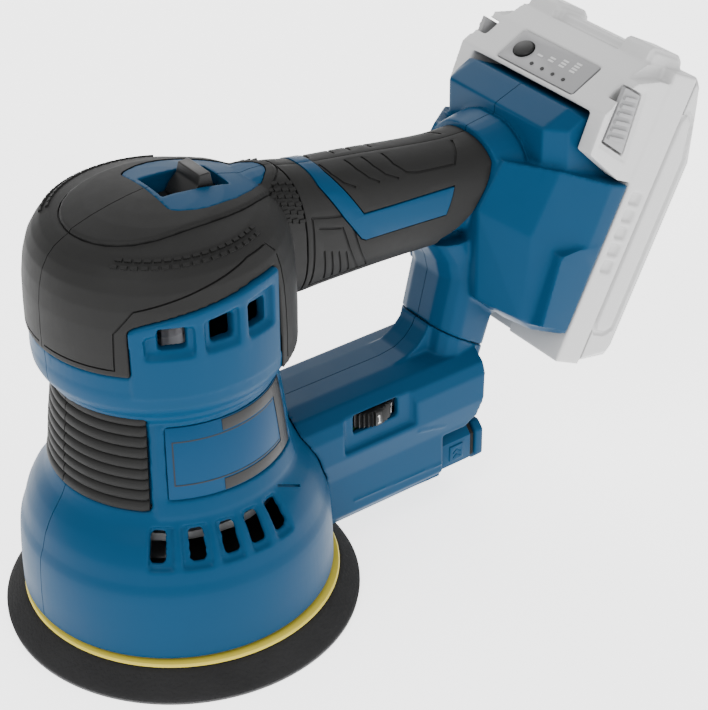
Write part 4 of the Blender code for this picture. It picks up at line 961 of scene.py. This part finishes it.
class DAM_OT_bezel(bpy.types.Operator):
    """Blue bezel on top of the head"""
    bl_idname = "dam.bezel"
    bl_label = "Bezel"

    def execute(self, context):
        whole = pushed("bezel", bezel_plan(), 140.0, 174.0)
        combine(whole, "DIFFERENCE", cap_body("bezel inside", CAP_WALL, CAP[0][1] - 3.0))
        combine(whole, "UNION", block("well wall", (WELL_FRONT - 1.6, WELL_REAR + 2.0),
                                      (-WELL_HALF - 1.8, WELL_HALF + 1.8), (WELL_BOTTOM, 172.0)))
        combine(whole, "INTERSECT", cap_body("bezel skin", -0.5, 100.0))
        mouth = lofted("well mouth", [level_ring(-2.4, 26.0, 6.2, 9.0, 170.0)]
                       + [level_ring(WELL_FRONT, WELL_REAR, WELL_HALF, WELL_HALF, z) for z in (158.4, 139.0)])
        combine(whole, "DIFFERENCE", mouth)
        softened(whole, 0.4, 2, 0.4)
        in_halves(whole, "bezel_half", "blue_housing", "top_bezel")
        return {"FINISHED"}


class DAM_OT_switch(bpy.types.Operator):
    """Slide switch knob and its plate"""
    bl_idname = "dam.switch"
    bl_label = "Switch"

    def execute(self, context):
        knob = lofted("switch_button", [level_ring(front, rear, half, half, z) for front, rear, half, z in (
            (7.6, 18.6, 6.6, 155.0), (9.2, 18.4, 6.6, 157.6), (12.4, 18.0, 6.5, 160.6), (13.2, 17.4, 6.4, 164.0))])
        rounded(knob, 0.45, 3, 25.0)
        combine(knob, "UNION", block("stem", (11.0, 16.0), (-2.4, 2.4), (148.4, 156.4)))
        placed(shaded(knob), "switch", "black_plastic", "switch_knob")
        floor = block("switch_floor", (-0.5, 23.3), (-7.3, 7.3), (153.0, 154.6))
        combine(floor, "DIFFERENCE", block("stem slot", (3.6, 17.0), (-3.0, 3.0), (150.0, 157.0)))
        placed(shaded(rounded(floor, 0.2)), "housing", "black_plastic")
        plate = block("switch_plate", (-1.9, 31.0), (-8.4, 8.4), (146.7, 148.3))
        edge = [block("rib", (x, x + 0.5), (-6.2, 6.2), (148.2, 148.5)) for x in (1.2, 3.2, 5.2, 20.4, 21.8)]
        combine(plate, "UNION", *edge)
        placed(shaded(rounded(plate, 0.12)), "switch", "black_plastic", "switch_slide")
        return {"FINISHED"}


class DAM_OT_handle(bpy.types.Operator):
    """Soft grips on the handle with their grooves, and the blue inlays"""
    bl_idname = "dam.handle"
    bl_label = "Handle"

    def execute(self, context):
        sleeve = [(NECK_LINE + GAP, 90.0), (NECK_LINE + GAP, 170.0)] + GRIP_END
        whole = pushed("grip", sleeve, -30.0, 30.0, "Y")
        fuse(whole, "INTERSECT", handle_body("grip skin", 0.0))
        fuse(whole, "DIFFERENCE", handle_body("grip room", CAP_WALL, rear=10.0))
        fuse(whole, "DIFFERENCE", pushed("inlay room", grown(INLAY, 0.45), -30.0, 30.0, "Y"))
        lines = []
        for side in (-1, 1):
            for start, end in ((61.6, 69.0), (72.0, 79.0), (79.0, 87.0)):
                lines.append(grip_path([(start, 84.0), (start + 1.0, 66.0), (start + 3.5, 52.0), (end, 44.0)], side))
            lines.append(grip_path([(118.0, 84.0), (114.5, 62.0), (111.5, 48.0), (95.0, 47.0), (91.0, 50.0),
                                    (88.0, 64.0), (87.6, 84.0)], side))
            lines.append(grip_path([(48.7, 22.0), (62.7, 18.0), (69.0, -22.0), (72.4, -40.0), (48.5, -42.0),
                                    (48.7, 22.0)], side))
            lines.append(grip_path([(51.0, 12.0), (60.4, 8.0), (65.6, -24.0), (68.5, -40.0)], side))
            lines += [grip_path([(52.6 + 3.0 * i, -4.0 - 2.0 * i), (54.2 + 3.4 * i, -38.0)], side) for i in range(4)]
        fuse(whole, "DIFFERENCE", *[ribbon(f"groove {i}", path, 0.9, 0.55) for i, path in enumerate(lines)])
        in_halves(whole, "grip_sleeve", "black_grip", "handle_grip", 0.18)
        whole = pushed("inlay", INLAY, -30.0, 30.0, "Y")
        fuse(whole, "INTERSECT", handle_body("inlay skin", -0.25))
        fuse(whole, "DIFFERENCE", handle_body("inlay back", CAP_WALL, rear=10.0))
        in_halves(whole, "inlay_strip", "blue_housing", "handle_inlay", 0.3)
        return {"FINISHED"}


# ---------------------------------------------------------------- barrel trim

GRIP_LOW, GRIP_HIGH, GRIP_RIBS = 65.0, 99.5, 9


class DAM_OT_barrel_trim(bpy.types.Operator):
    """Ribbed front grips and the tinted plates on the barrel's sides"""
    bl_idname = "dam.barrel_trim"
    bl_label = "Barrel trim"

    def execute(self, context):
        pitch = (GRIP_HIGH - GRIP_LOW) / GRIP_RIBS
        levels = [GRIP_LOW] + [GRIP_LOW + (i + share) * pitch for i in range(GRIP_RIBS)
                               for share in (0.04, 0.12, 0.3, 0.72, 0.9, 0.97)]
        proud = [0.2] + [0.1, 0.9, 1.3, 1.25, 0.8, 0.1] * GRIP_RIBS
        skin = [(outer_radius(min(z, 95.6)) + lift - max(0.0, z - 95.6) * 0.1, z) for z, lift in zip(levels, proud)]

        def ribbed(angle):
            fade = min(1.0, (48.0 - angle) / 2.0, (angle + 0.6) / 0.9)
            drop = 0.9 * (1.0 - max(0.0, fade))
            back = on_skin((95.0, 82.0, 65.0), -1.6)
            return [(r - drop, z) for r, z in skin] + [(skin[-1][0] - 1.9, GRIP_HIGH)] + back

        def slab(low, high, top, bottom):
            levels = (top, (top + bottom) / 2, bottom)
            return on_skin(levels, low) + on_skin(levels[::-1], high)
        for word, side in SIDES:
            grip = wrapped(f"ribbed_grip_{word}", ribbed, 0.3, 48.0, side, 1.5)
            placed(shaded(grip, 50.0), "housing", "black_grip", f"front_grip_{word}")
            node = "label_plate" if side < 0 else "rating_plate"
            plate = wrapped(f"side_plate_{word}", slab(-0.5, 0.3, 69.0, 95.0), 57.0, 135.0, side)
            placed(shaded(rounded(plate, 0.2)), "housing", "side_plate", node)
            bars = [wrapped("bar", slab(0.1, 0.5, 90.6, 94.6), 86.0, 132.0, side),
                    wrapped("bar", slab(0.1, 0.5, 69.4, 73.4), 84.0, 132.0, side),
                    wrapped("bar", slab(0.1, 0.5, 69.4, 94.6), 124.0, 134.0, side)]
            bars = named(combine(bars[0], "UNION", *bars[1:]), f"plate_bars_{word}")
            placed(shaded(rounded(bars, 0.12)), "housing", "black_plastic")
            edges = [wrapped("edge", slab(0.1, 0.42, 74.0, 74.4), 60.0, 123.0, side),
                     wrapped("edge", slab(0.1, 0.42, 89.6, 90.0), 60.0, 123.0, side),
                     wrapped("edge", slab(0.1, 0.42, 74.0, 90.0), 60.0, 60.6, side)]
            edges = named(combine(edges[0], "UNION", *edges[1:]), f"plate_frame_{word}")
            placed(shaded(edges), "housing", "black_plastic")
        return {"FINISHED"}


# ---------------------------------------------------------------- lower arm and dust outlet

ARM_SIDE = [(13.2, 17.0), (17.5, 20.0), (34.5, 20.0), (43.5, 22.0), (54.0, 21.8), (58.5, 20.0), (62.0, 15.5),
            (63.5, 8.0), (80.0, 7.6)]
ARM_OUTLINE = [(36.0, 10.0), (102.4, 10.0), (102.4, 33.0), (113.0, 33.0), (118.0, 36.0), (120.0, 44.0),
               (121.5, 76.0), (105.6, 76.0), (103.5, 71.0), (100.0, 67.0), (95.0, 64.4), (88.0, 63.5), (36.0, 63.5)]
ARM_ROOM = [(30.0, 10.0), (140.0, 10.0), (140.0, 30.4), (102.4, 30.4), (102.4, 60.0), (96.0, 61.0), (30.0, 61.0)]
DIAL_X, DIAL_Y, DIAL_RADIUS, DIAL_LOW, DIAL_HIGH = 72.0, -11.0, 10.8, 51.6, 57.6
OUTLET_HALF, OUTLET_LOW, OUTLET_HIGH = 18.0, 13.4, 29.6
MOUTH_HALF, MOUTH_LOW, MOUTH_HIGH = 14.0, 16.6, 26.6


def arm_length(name, inset):
    """The arm's cross-section carried along the machine, drawn in by inset."""
    side = [(half - inset, height) for height, half in ARM_SIDE]
    side[0] = (side[0][0], ARM_SIDE[0][0] + inset)
    for place in (-2, -3):
        side[place] = (side[place][0], ARM_SIDE[place][0] - inset)
    return pushed(name, side + [(-y, z) for y, z in side[::-1]], 30.0, 150.0, "X")


def side_line(name, start, end, y, out, side, wide=0.7, deep=0.4):
    """A straight raised line on the side of the machine, between two (x, z) places."""
    path = [((x, side * y, z), (0.0, side * out[0], out[1])) for x, z in (start, end)]
    return ribbon(name, path, wide, deep, 0.5)


def dial_recess(side):
    """The hollow round the speed dial, with sloping ends and floor."""
    def section(y, low, start, end):
        return [(x, side * y, z) for x, z in ((start, low), (end, low), (end, 80.0), (start, 80.0))]
    return lofted("dial recess", [section(19.4, 46.6, 58.6, 86.6), section(20.6, 45.4, 57.4, 88.2),
                                  section(26.0, 43.6, 55.6, 91.6)])


class DAM_OT_arm(bpy.types.Operator):
    """Both halves of the lower arm with its dust duct and the lower strut"""
    bl_idname = "dam.arm"
    bl_label = "Lower arm"

    def execute(self, context):
        whole = arm_length("arm", 0.0)
        combine(whole, "INTERSECT", pushed("arm outline", ARM_OUTLINE, -40.0, 40.0, "Y"))
        combine(whole, "UNION", strut_body("lower strut", 0.0, low=33.4))
        for side in (-1, 1):
            combine(whole, "UNION", lofted("flare", [
                [(90.0, side * 10.0, 36.0), (103.2, side * 10.0, 36.0), (112.0, side * 10.0, 62.0),
                 (90.0, side * 10.0, 60.0)],
                [(90.0, side * 22.0, 41.0), (102.8, side * 21.0, 37.5), (109.0, side * 16.4, 58.0),
                 (92.0, side * 20.4, 57.0)]]))
            combine(whole, "DIFFERENCE", dial_recess(side))
        room = arm_length("arm room", WALL)
        combine(whole, "DIFFERENCE", combine(room, "INTERSECT", pushed("room outline", ARM_ROOM, -40.0, 40.0, "Y")),
                strut_body("strut room", WALL, low=36.6))
        for side in (-1, 1):
            combine(whole, "UNION", block("recess wall", (55.0, 91.0), span(side, 17.2, 19.7), (43.0, 58.4)))
        combine(whole, "DIFFERENCE", block("dial window", (DIAL_X - 9.8, DIAL_X + 9.8), (-30.0, -14.0),
                                           (DIAL_LOW - 0.8, DIAL_HIGH + 0.8)))
        for side in (-1, 1):
            combine(whole, "UNION", side_line("line", (62.0, 22.2), (102.3, 21.0), 20.0, (1.0, 0.0), side),
                    side_line("line", (78.6, 15.8), (102.3, 14.8), 18.5, (0.82, -0.57), side))
        outside = [(0.0, 5.0), (BARREL[0][0] + GAP, 5.0)] + [(r + GAP, z) for r, z in BARREL]
        combine(whole, "DIFFERENCE", turned("barrel room", outside + [(BARREL[-1][0] + GAP, 110.0), (0.0, 110.0)]))
        above = [(80.0, 90.0), (104.0, 74.5), (130.0, 57.0), (134.0, 40.0), (260.0, 40.0), (260.0, 200.0),
                 (80.0, 200.0)]
        combine(whole, "DIFFERENCE", pushed("above the seam", above, -60.0, 60.0, "Y"))
        softened(whole, 0.55)
        in_halves(whole, "arm_shell", "blue_housing", "arm")
        return {"FINISHED"}


def cornered(half, low, high, corner):
    """A rectangle with cut corners, seen along the machine."""
    return [(-half + corner, low), (half - corner, low), (half, low + corner), (half, high - corner),
            (half - corner, high), (-half + corner, high), (-half, high - corner), (-half, low + corner)]


class DAM_OT_outlet(bpy.types.Operator):
    """Dust outlet: its box, gasket and end flange"""
    bl_idname = "dam.outlet"
    bl_label = "Dust outlet"

    def execute(self, context):
        start = 102.4 + GAP
        mouth = cornered(MOUTH_HALF, MOUTH_LOW, MOUTH_HIGH, 1.6)
        for name, node, low, high, grow, slot, soft in (
                ("outlet_body", "outlet_box", start, 117.0, 0.0, "blue_housing", 0.5),
                ("outlet_seal", "outlet_gasket", 117.3, 119.0, -0.5, "black_rubber", 0.3),
                ("outlet_end", "outlet_flange", 119.3, 123.0, 0.3, "blue_housing", 0.7)):
            thing = pushed(name, cornered(OUTLET_HALF + grow, OUTLET_LOW - grow, OUTLET_HIGH + grow, 3.0), low, high,
                           "X")
            if name == "outlet_body":
                for side in (-1, 1):
                    badge = block("badge", (107.0, 113.4), span(side, 17.0, 18.5), (18.2, 24.8))
                    combine(thing, "UNION", rounded(badge, 0.3))
                    for rise in (20.4, 22.4):
                        chevron = ribbon("chevron", [((108.4 + x, side * 18.5, rise + z), (0.0, side, 0.0))
                                                     for x, z in ((0.0, -0.8), (1.8, 0.8), (3.6, -0.8))], 0.5, 0.25)
                        combine(thing, "DIFFERENCE", chevron)
            rounded(thing, soft, 3, 40.0)
            combine(thing, "DIFFERENCE", pushed("mouth", mouth, 90.0, 140.0, "X"))
            placed(shaded(thing, 40.0), "housing", slot, node)
        return {"FINISHED"}


class DAM_OT_dial(bpy.types.Operator):
    """Speed dial with its ribs and figures"""
    bl_idname = "dam.dial"
    bl_label = "Speed dial"

    def execute(self, context):
        figures = 6
        apart = 45.0

        def reach(turn):
            beside = min(abs((turn + 90.0 - apart * i + 180.0) % 360.0 - 180.0) for i in range(figures))
            return DIAL_RADIUS - (0.5 + 0.5 * math.cos(math.radians(turn) * 40.0)) * (0.9 if beside > 8.0 else 0.0)
        turns = [1.5 * i for i in range(240)]

        def ring(height, drawn_in):
            return [(DIAL_X + (reach(t) - drawn_in) * math.cos(math.radians(t)),
                     DIAL_Y + (reach(t) - drawn_in) * math.sin(math.radians(t)), height) for t in turns]
        wheel = lofted("dial_wheel", [ring(DIAL_LOW, 0.5), ring(DIAL_LOW + 0.5, 0.0), ring(DIAL_HIGH - 0.5, 0.0),
                                      ring(DIAL_HIGH, 0.5)])
        placed(shaded(wheel, 50.0), "dial", "black_plastic", "speed_dial")
        bars = {"top": ((-0.8, 1.6), (0.8, 1.6)), "mid": ((-0.8, 0.0), (0.8, 0.0)), "low": ((-0.8, -1.6), (0.8, -1.6)),
                "tl": ((-0.8, 0.0), (-0.8, 1.6)), "tr": ((0.8, 0.0), (0.8, 1.6)), "bl": ((-0.8, -1.6), (-0.8, 0.0)),
                "br": ((0.8, -1.6), (0.8, 0.0)), "stem": ((0.0, -1.6), (0.0, 1.6)), "flag": ((-0.6, 1.0), (0.0, 1.6)),
                "foot": ((-0.6, -1.6), (0.6, -1.6))}
        strokes = ["stem flag foot", "top tr mid bl low", "top tr mid br low", "tl mid tr br", "top tl mid br low",
                   "top tl mid bl br low"]
        marks = []
        middle = (DIAL_LOW + DIAL_HIGH) / 2
        for i, stroke in enumerate(strokes):
            for word in stroke.split():
                path = []
                for across, rise in bars[word]:
                    turn = math.radians(-90.0 + apart * i) + across / DIAL_RADIUS
                    out = (math.cos(turn), math.sin(turn), 0.0)
                    path.append(((DIAL_X + DIAL_RADIUS * out[0], DIAL_Y + DIAL_RADIUS * out[1], middle + rise), out))
                marks.append(ribbon("stroke", path, 0.42, 0.1))
        placed(named(joined(*marks), "dial_figures"), "dial", "pale_case")
        return {"FINISHED"}


SCREW_SPOTS = [(66.0, 20.0, 28.0), (96.0, 20.0, 28.0), (115.0, 15.0, 50.0), (151.0, 31.0, 128.0)]


class DAM_OT_screws(bpy.types.Operator):
    """Housing screws, in their bosses on the right side"""
    bl_idname = "dam.screws"
    bl_label = "Housing screws"

    def execute(self, context):
        head = turned("screw", [(0.0, 0.0), (2.9, 0.0), (3.0, 0.5), (2.7, 1.1), (1.8, 1.5), (0.0, 1.6)], steps=32)
        for x, y in (((-2.0, 2.0), (-0.35, 0.35)), ((-0.35, 0.35), (-2.0, 2.0))):
            combine(head, "DIFFERENCE", block("slot", x, y, (0.8, 3.0)))
        boss = turned("boss", [(3.1, 0.0), (4.6, 0.0), (4.4, 0.9), (3.9, 1.2), (3.3, 1.2), (3.1, 0.9)], steps=32)
        for kind, name, slot in ((head, "screw", "steel"), (boss, "screw_boss", "blue_housing")):
            edit_all(kind)
            bpy.ops.transform.rotate(value=math.radians(90.0), orient_axis="X", center_override=(0.0, 0.0, 0.0))
            close_edit(kind)
            for i, spot in enumerate(SCREW_SPOTS, 1):
                copy = twin(kind, f"{name}_{i}_right")
                edit_all(copy)
                bpy.ops.transform.translate(value=Vector(spot) * MM)
                close_edit(copy)
                placed(shaded(copy), "housing", slot)
            bpy.data.objects.remove(kind)
        return {"FINISHED"}


# ---------------------------------------------------------------- battery pack

PACK_FACE, PACK_SPLIT, PACK_HALF, PACK_REAR, PACK_WALL = 5.8, 18.0, 39.0, 33.6, 2.4
BUTTON = [(91.0, -15.2), (89.4, -6.6), (68.4, -3.8), (71.2, -15.2)]
SEAT_TOP_HALF, CHEEK_GAP = 31.0, 0.5


def gauge_point(along, above):
    """The (up, back) place of a point on the sloped gauge face."""
    c, s = math.cos(GAUGE_LEAN), math.sin(GAUGE_LEAN)
    return (GAUGE_START[0] + along * c + above * s, GAUGE_START[1] + along * s - above * c)


def gauge_slab(name, start, end, low, high, half, middle=0.0):
    """A block lying on the gauge face."""
    outline = [gauge_point(*corner) for corner in oblong(start, end, low, high)]
    return seat_pushed(name, outline, middle - half, middle + half)


def gauge_stud(name, along, across, long, wide, low, high, sides=24):
    """A round or oval boss standing on the gauge face."""
    rings = []
    for above in (low, high):
        ring = []
        for i in range(sides):
            turn = math.tau * i / sides
            x, z = seat_point(*gauge_point(along + long * math.sin(turn), above))
            ring.append((x, across + wide * math.cos(turn), z))
        rings.append(ring)
    return lofted(name, rings)


def cheek_block(name, near, far, shrink=0.0):
    """The raised cheek beside the seat, which carries a release button."""
    ring = [(59.0, PACK_FACE + 1.0), (59.0, -1.0), (65.5, -19.5), (80.3, -20.4), (93.5, -10.0), (96.0, 0.0),
            (96.0, PACK_FACE + 1.0)]
    return seat_pushed(name, grown(ring, -shrink), *sorted((near, far)))


def pack_rear_outline(inset):
    """Side view of the pack's rear shell, drawn in at the back by inset."""
    low, high, back = -11.0 + inset, 100.5 - inset, PACK_REAR - inset
    return [(low, PACK_SPLIT + GAP), (low + 4.0, back - 1.0), (low + 7.0, back), (71.5 - inset * 0.5, back),
            (high, 20.5), (high, PACK_SPLIT + GAP)]


class DAM_OT_pack_front(bpy.types.Operator):
    """Front shell of the battery case, with the gauge head, cheeks and lock lugs"""
    bl_idname = "dam.pack_front"
    bl_label = "Battery case front"

    def execute(self, context):
        tray = [(-11.0, PACK_FACE), (-11.0, PACK_SPLIT), (100.5, PACK_SPLIT), (100.5, PACK_FACE)]
        front = seat_pushed("case_front", tray, -PACK_HALF, PACK_HALF)
        head = [(78.4, PACK_FACE + 1.0), (78.4, -20.4), (80.3, -20.4), (93.5, -10.0), (100.0, -3.0),
                (100.0, PACK_FACE + 1.0)]
        combine(front, "UNION", seat_pushed("gauge head", head, -33.0, 33.0))
        lug = [(99.0, -3.0), (104.6, -2.2), (106.0, -0.6), (105.4, 13.4), (103.6, 15.6), (99.0, 17.5)]
        for side in (-1, 1):
            combine(front, "UNION", cheek_block("cheek", side * (SEAT_TOP_HALF + CHEEK_GAP), side * 38.6),
                    seat_pushed("lug", lug, *span(side, 18.0, 31.0)),
                    seat_pushed("lug step", grown(lug, -1.6), *span(side, 16.6, 32.4)))
        bar = [(99.0, 0.0), (102.4, 1.2), (103.0, 2.4), (103.0, 9.4), (102.0, 11.4), (99.0, 14.0)]
        combine(front, "UNION", seat_pushed("lock bar", bar, -19.0, 19.0))
        inside = [(-11.0 + PACK_WALL, PACK_FACE + 3.3), (-11.0 + PACK_WALL, PACK_SPLIT + 5.0),
                  (100.5 - PACK_WALL, PACK_SPLIT + 5.0), (100.5 - PACK_WALL, PACK_FACE + 3.3)]
        combine(front, "DIFFERENCE", seat_pushed("case room", inside, -PACK_HALF + PACK_WALL, PACK_HALF - PACK_WALL))
        gap = SEAT_TOP_HALF + CHEEK_GAP
        combine(front, "DIFFERENCE", seat_pushed("rail channel", oblong(-14.0, 53.0, 3.0, 8.4), -12.4, 12.4),
                seat_pushed("seat clearance", oblong(50.0, 79.0, 0.0, -30.0), -gap, gap))
        for side in (-1, 1):
            combine(front, "DIFFERENCE",
                    seat_pushed("sunk frame", grown(BUTTON, 2.4), *span(side, 38.0, 43.0)),
                    seat_pushed("button room", grown(BUTTON, 0.8), *span(side, 32.9, 43.0)))
            for i in range(5):
                low = 25.0 + i * 6.6
                combine(front, "DIFFERENCE", seat_pushed("fin gap", oblong(low, low + 4.6, 9.0, 14.6),
                                                         *span(side, 37.6, 43.0)))
        combine(front, "DIFFERENCE", gauge_slab("panel room", 0.9, 15.7, -1.2, 3.0, 20.4),
                gauge_stud("button room", 8.3, 13.0, 4.1, 4.6, -3.2, 3.0))
        softened(front, 0.55)
        placed(shaded(front, 40.0), "battery", "pale_case", "battery_case_front")
        return {"FINISHED"}


class DAM_OT_pack_rear(bpy.types.Operator):
    """Rear shell of the battery case, with the raised side plaques"""
    bl_idname = "dam.pack_rear"
    bl_label = "Battery case rear"

    def execute(self, context):
        full = [seat_point(up, back) for up, back in pack_rear_outline(0.0)]
        drawn = [seat_point(up, back) for up, back in pack_rear_outline(2.6)]
        rear = lofted("case_rear", seat_rows([(-PACK_HALF, drawn), (-PACK_HALF + 2.6, full)]))
        plaque = [(3.0, 20.4), (6.0, 19.2), (84.0, 19.2), (87.0, 20.4), (85.0, 23.4), (71.0, 27.2), (5.0, 27.2),
                  (3.0, 24.6)]
        for side in (-1, 1):
            sunk = grown(plaque, 1.7)
            combine(rear, "DIFFERENCE", seat_pushed("plaque edge", sunk, *span(side, 37.8, 43.0)))
            combine(rear, "UNION", seat_pushed("plaque", plaque, *span(side, 36.0, 39.2)))
        room = [(-11.0 + PACK_WALL, PACK_SPLIT - 4.0), (-4.6, PACK_REAR - 3.4), (-1.6, PACK_REAR - PACK_WALL),
                (70.3, PACK_REAR - PACK_WALL), (98.1, 19.0), (98.1, PACK_SPLIT - 4.0)]
        combine(rear, "DIFFERENCE", seat_pushed("case room", room, -PACK_HALF + PACK_WALL, PACK_HALF - PACK_WALL))
        softened(rear, 0.6)
        placed(shaded(rear, 40.0), "battery", "pale_case", "battery_case_rear")
        return {"FINISHED"}


class DAM_OT_pack_trim(bpy.types.Operator):
    """Gauge panel with its lights and marks, gauge button and release buttons"""
    bl_idname = "dam.pack_trim"
    bl_label = "Battery trim"

    def execute(self, context):
        panel = gauge_slab("gauge_face", 1.2, 15.4, -0.9, 0.2, 20.0)
        combine(panel, "DIFFERENCE", gauge_stud("panel hole", 8.3, 13.0, 4.0, 4.5, -3.0, 3.0))
        placed(shaded(rounded(panel, 0.25, 2, 40.0)), "battery", "grey_plastic", "gauge_panel")
        button = gauge_stud("gauge_push", 8.3, 13.0, 3.6, 4.1, -2.0, 0.9)
        placed(shaded(rounded(button, 0.5, 3, 40.0)), "gauge", "black_plastic", "gauge_button")
        lights, marks = [], []
        for i in range(4):
            across = 4.6 - 5.6 * i
            lights.append(gauge_stud("light", 4.4, across, 0.75, 0.75, 0.1, 0.45, 16))
            for bar in range(i + 1):
                marks.append(gauge_slab("mark", 8.4 + 1.3 * bar, 9.2 + 1.3 * bar, 0.1, 0.32, 1.3, across))
        for name, things, slot in (("gauge_lights", lights, "black_plastic"), ("gauge_marks", marks, "pale_case")):
            placed(shaded(named(joined(*things), name)), "battery", slot)
        for word, side in SIDES:
            push = seat_pushed(f"release_{word}", BUTTON, *span(side, PACK_HALF - 2.6, PACK_HALF - 0.9))
            for i in range(6):
                low, top = 72.4 + 2.9 * i, -6.0 - 0.13 * (2.9 * i)
                rib = [(low, -14.4), (low + 1.3, -14.4), (low + 1.3, top), (low, top)]
                combine(push, "UNION", seat_pushed("rib", rib, *span(side, PACK_HALF - 1.5, PACK_HALF + 0.2)))
            placed(shaded(rounded(push, 0.25, 2, 40.0)), f"release_{word}", "grey_plastic", f"release_button_{word}")
        return {"FINISHED"}


# ---------------------------------------------------------------- stage

FLOOR_SIZE = 9.0
LAMPS = (("key light", (-0.75, -0.35, 1.05), (0.05, 0.0, 0.08), 0.7),
         ("fill light", (0.35, -1.1, 0.5), (0.05, 0.0, 0.08), 0.8),
         ("rim light", (0.5, 0.9, 0.8), (0.05, 0.0, 0.1), 0.6))
CAMERA_PLACE = (-0.29166, -0.50517, 0.47629)
CAMERA_AIM = (0.08019, 0.0041, 0.06473)
CAMERA_ROLL = math.radians(-0.72)


def lamp(name, place, aim, size, power):
    """A square soft light that looks at a point."""
    light = bpy.data.lights.new(name, "AREA")
    light.energy = power
    light.size = size
    thing = bpy.data.objects.new(name, light)
    bpy.context.scene.collection.objects.link(thing)
    thing.location = place
    thing.rotation_euler = (Vector(aim) - Vector(place)).to_track_quat("-Z", "Y").to_euler()
    return thing


class DAM_OT_stage(bpy.types.Operator):
    """Lay the floor, set the lights and place the camera"""
    bl_idname = "dam.stage"
    bl_label = "Stage"

    def execute(self, context):
        settings = context.scene.dam_stage
        bpy.ops.object.select_all(action="DESELECT")
        bpy.ops.mesh.primitive_plane_add(size=FLOOR_SIZE, location=(0.0, 0.0, 0.0))
        floor = named(context.object, "floor")
        sheet = bpy.data.materials.new("pale floor")
        sheet.use_nodes = True
        shader = sheet.node_tree.nodes["Principled BSDF"]
        for label, value in (("Base Color", (0.95, 0.95, 0.95, 1.0)), ("Roughness", 0.9),
                             ("Emission Color", (1.0, 1.0, 1.0, 1.0)), ("Emission Strength", 2.3)):
            shader.inputs[label].default_value = value
        floor.data.materials.append(sheet)
        world = bpy.data.worlds.new("studio")
        context.scene.world = world
        world.use_nodes = True
        back = world.node_tree.nodes["Background"]
        back.inputs["Color"].default_value = (1.0, 1.0, 1.0, 1.0)
        back.inputs["Strength"].default_value = 1.0
        for lamp_row, power in zip(LAMPS, (settings.key, settings.fill, settings.fill)):
            lamp(*lamp_row, power)
        camera = bpy.data.cameras.new("camera")
        camera.lens = settings.lens
        camera.sensor_width = 36.0
        camera.clip_start = 0.01
        view = bpy.data.objects.new("camera", camera)
        context.scene.collection.objects.link(view)
        view.location = CAMERA_PLACE
        look = (Vector(CAMERA_AIM) - view.location).to_track_quat("-Z", "Y")
        view.rotation_mode = "QUATERNION"
        view.rotation_quaternion = look @ Quaternion((0.0, 0.0, 1.0), CAMERA_ROLL)
        context.scene.camera = view
        return {"FINISHED"}


class DAM_OT_finishes(bpy.types.Operator):
    """Make every finish and put it on the frame's pieces"""
    bl_idname = "dam.finishes"
    bl_label = "Finishes"

    def execute(self, context):
        make_finishes(context.scene.dam_colours)
        dress_frame()
        return {"FINISHED"}


OPERATORS = [DAM_OT_finishes, DAM_OT_pad, DAM_OT_housing, DAM_OT_covers, DAM_OT_bezel, DAM_OT_switch, DAM_OT_handle,
             DAM_OT_barrel_trim, DAM_OT_arm, DAM_OT_outlet, DAM_OT_dial, DAM_OT_screws, DAM_OT_pack_front,
             DAM_OT_pack_rear, DAM_OT_pack_trim, DAM_OT_stage]


class DAM_PT_panel(bpy.types.Panel):
    """Settings and pieces of the machine"""
    bl_idname = "DAM_PT_panel"
    bl_label = "Dual action machine"
    bl_space_type = "VIEW_3D"
    bl_region_type = "UI"
    bl_category = "Dual action machine"

    def draw(self, context):
        layout = self.layout
        for settings in (context.scene.dam_colours, context.scene.dam_stage):
            for name in settings.__annotations__:
                layout.prop(settings, name)
        for operator in OPERATORS:
            layout.operator(operator.bl_idname)


CLASSES = [MachineColours, MachineStage] + OPERATORS + [DAM_PT_panel]


def register():
    for kind in CLASSES:
        bpy.utils.register_class(kind)
    bpy.types.Scene.dam_colours = bpy.props.PointerProperty(type=MachineColours)
    bpy.types.Scene.dam_stage = bpy.props.PointerProperty(type=MachineStage)


def unregister():
    del bpy.types.Scene.dam_colours
    del bpy.types.Scene.dam_stage
    for kind in reversed(CLASSES):
        bpy.utils.unregister_class(kind)


def main():
    register()
    for operator in OPERATORS:
        group, name = operator.bl_idname.split(".")
        getattr(getattr(bpy.ops, group), name)()


if __name__ == "__main__":
    main()
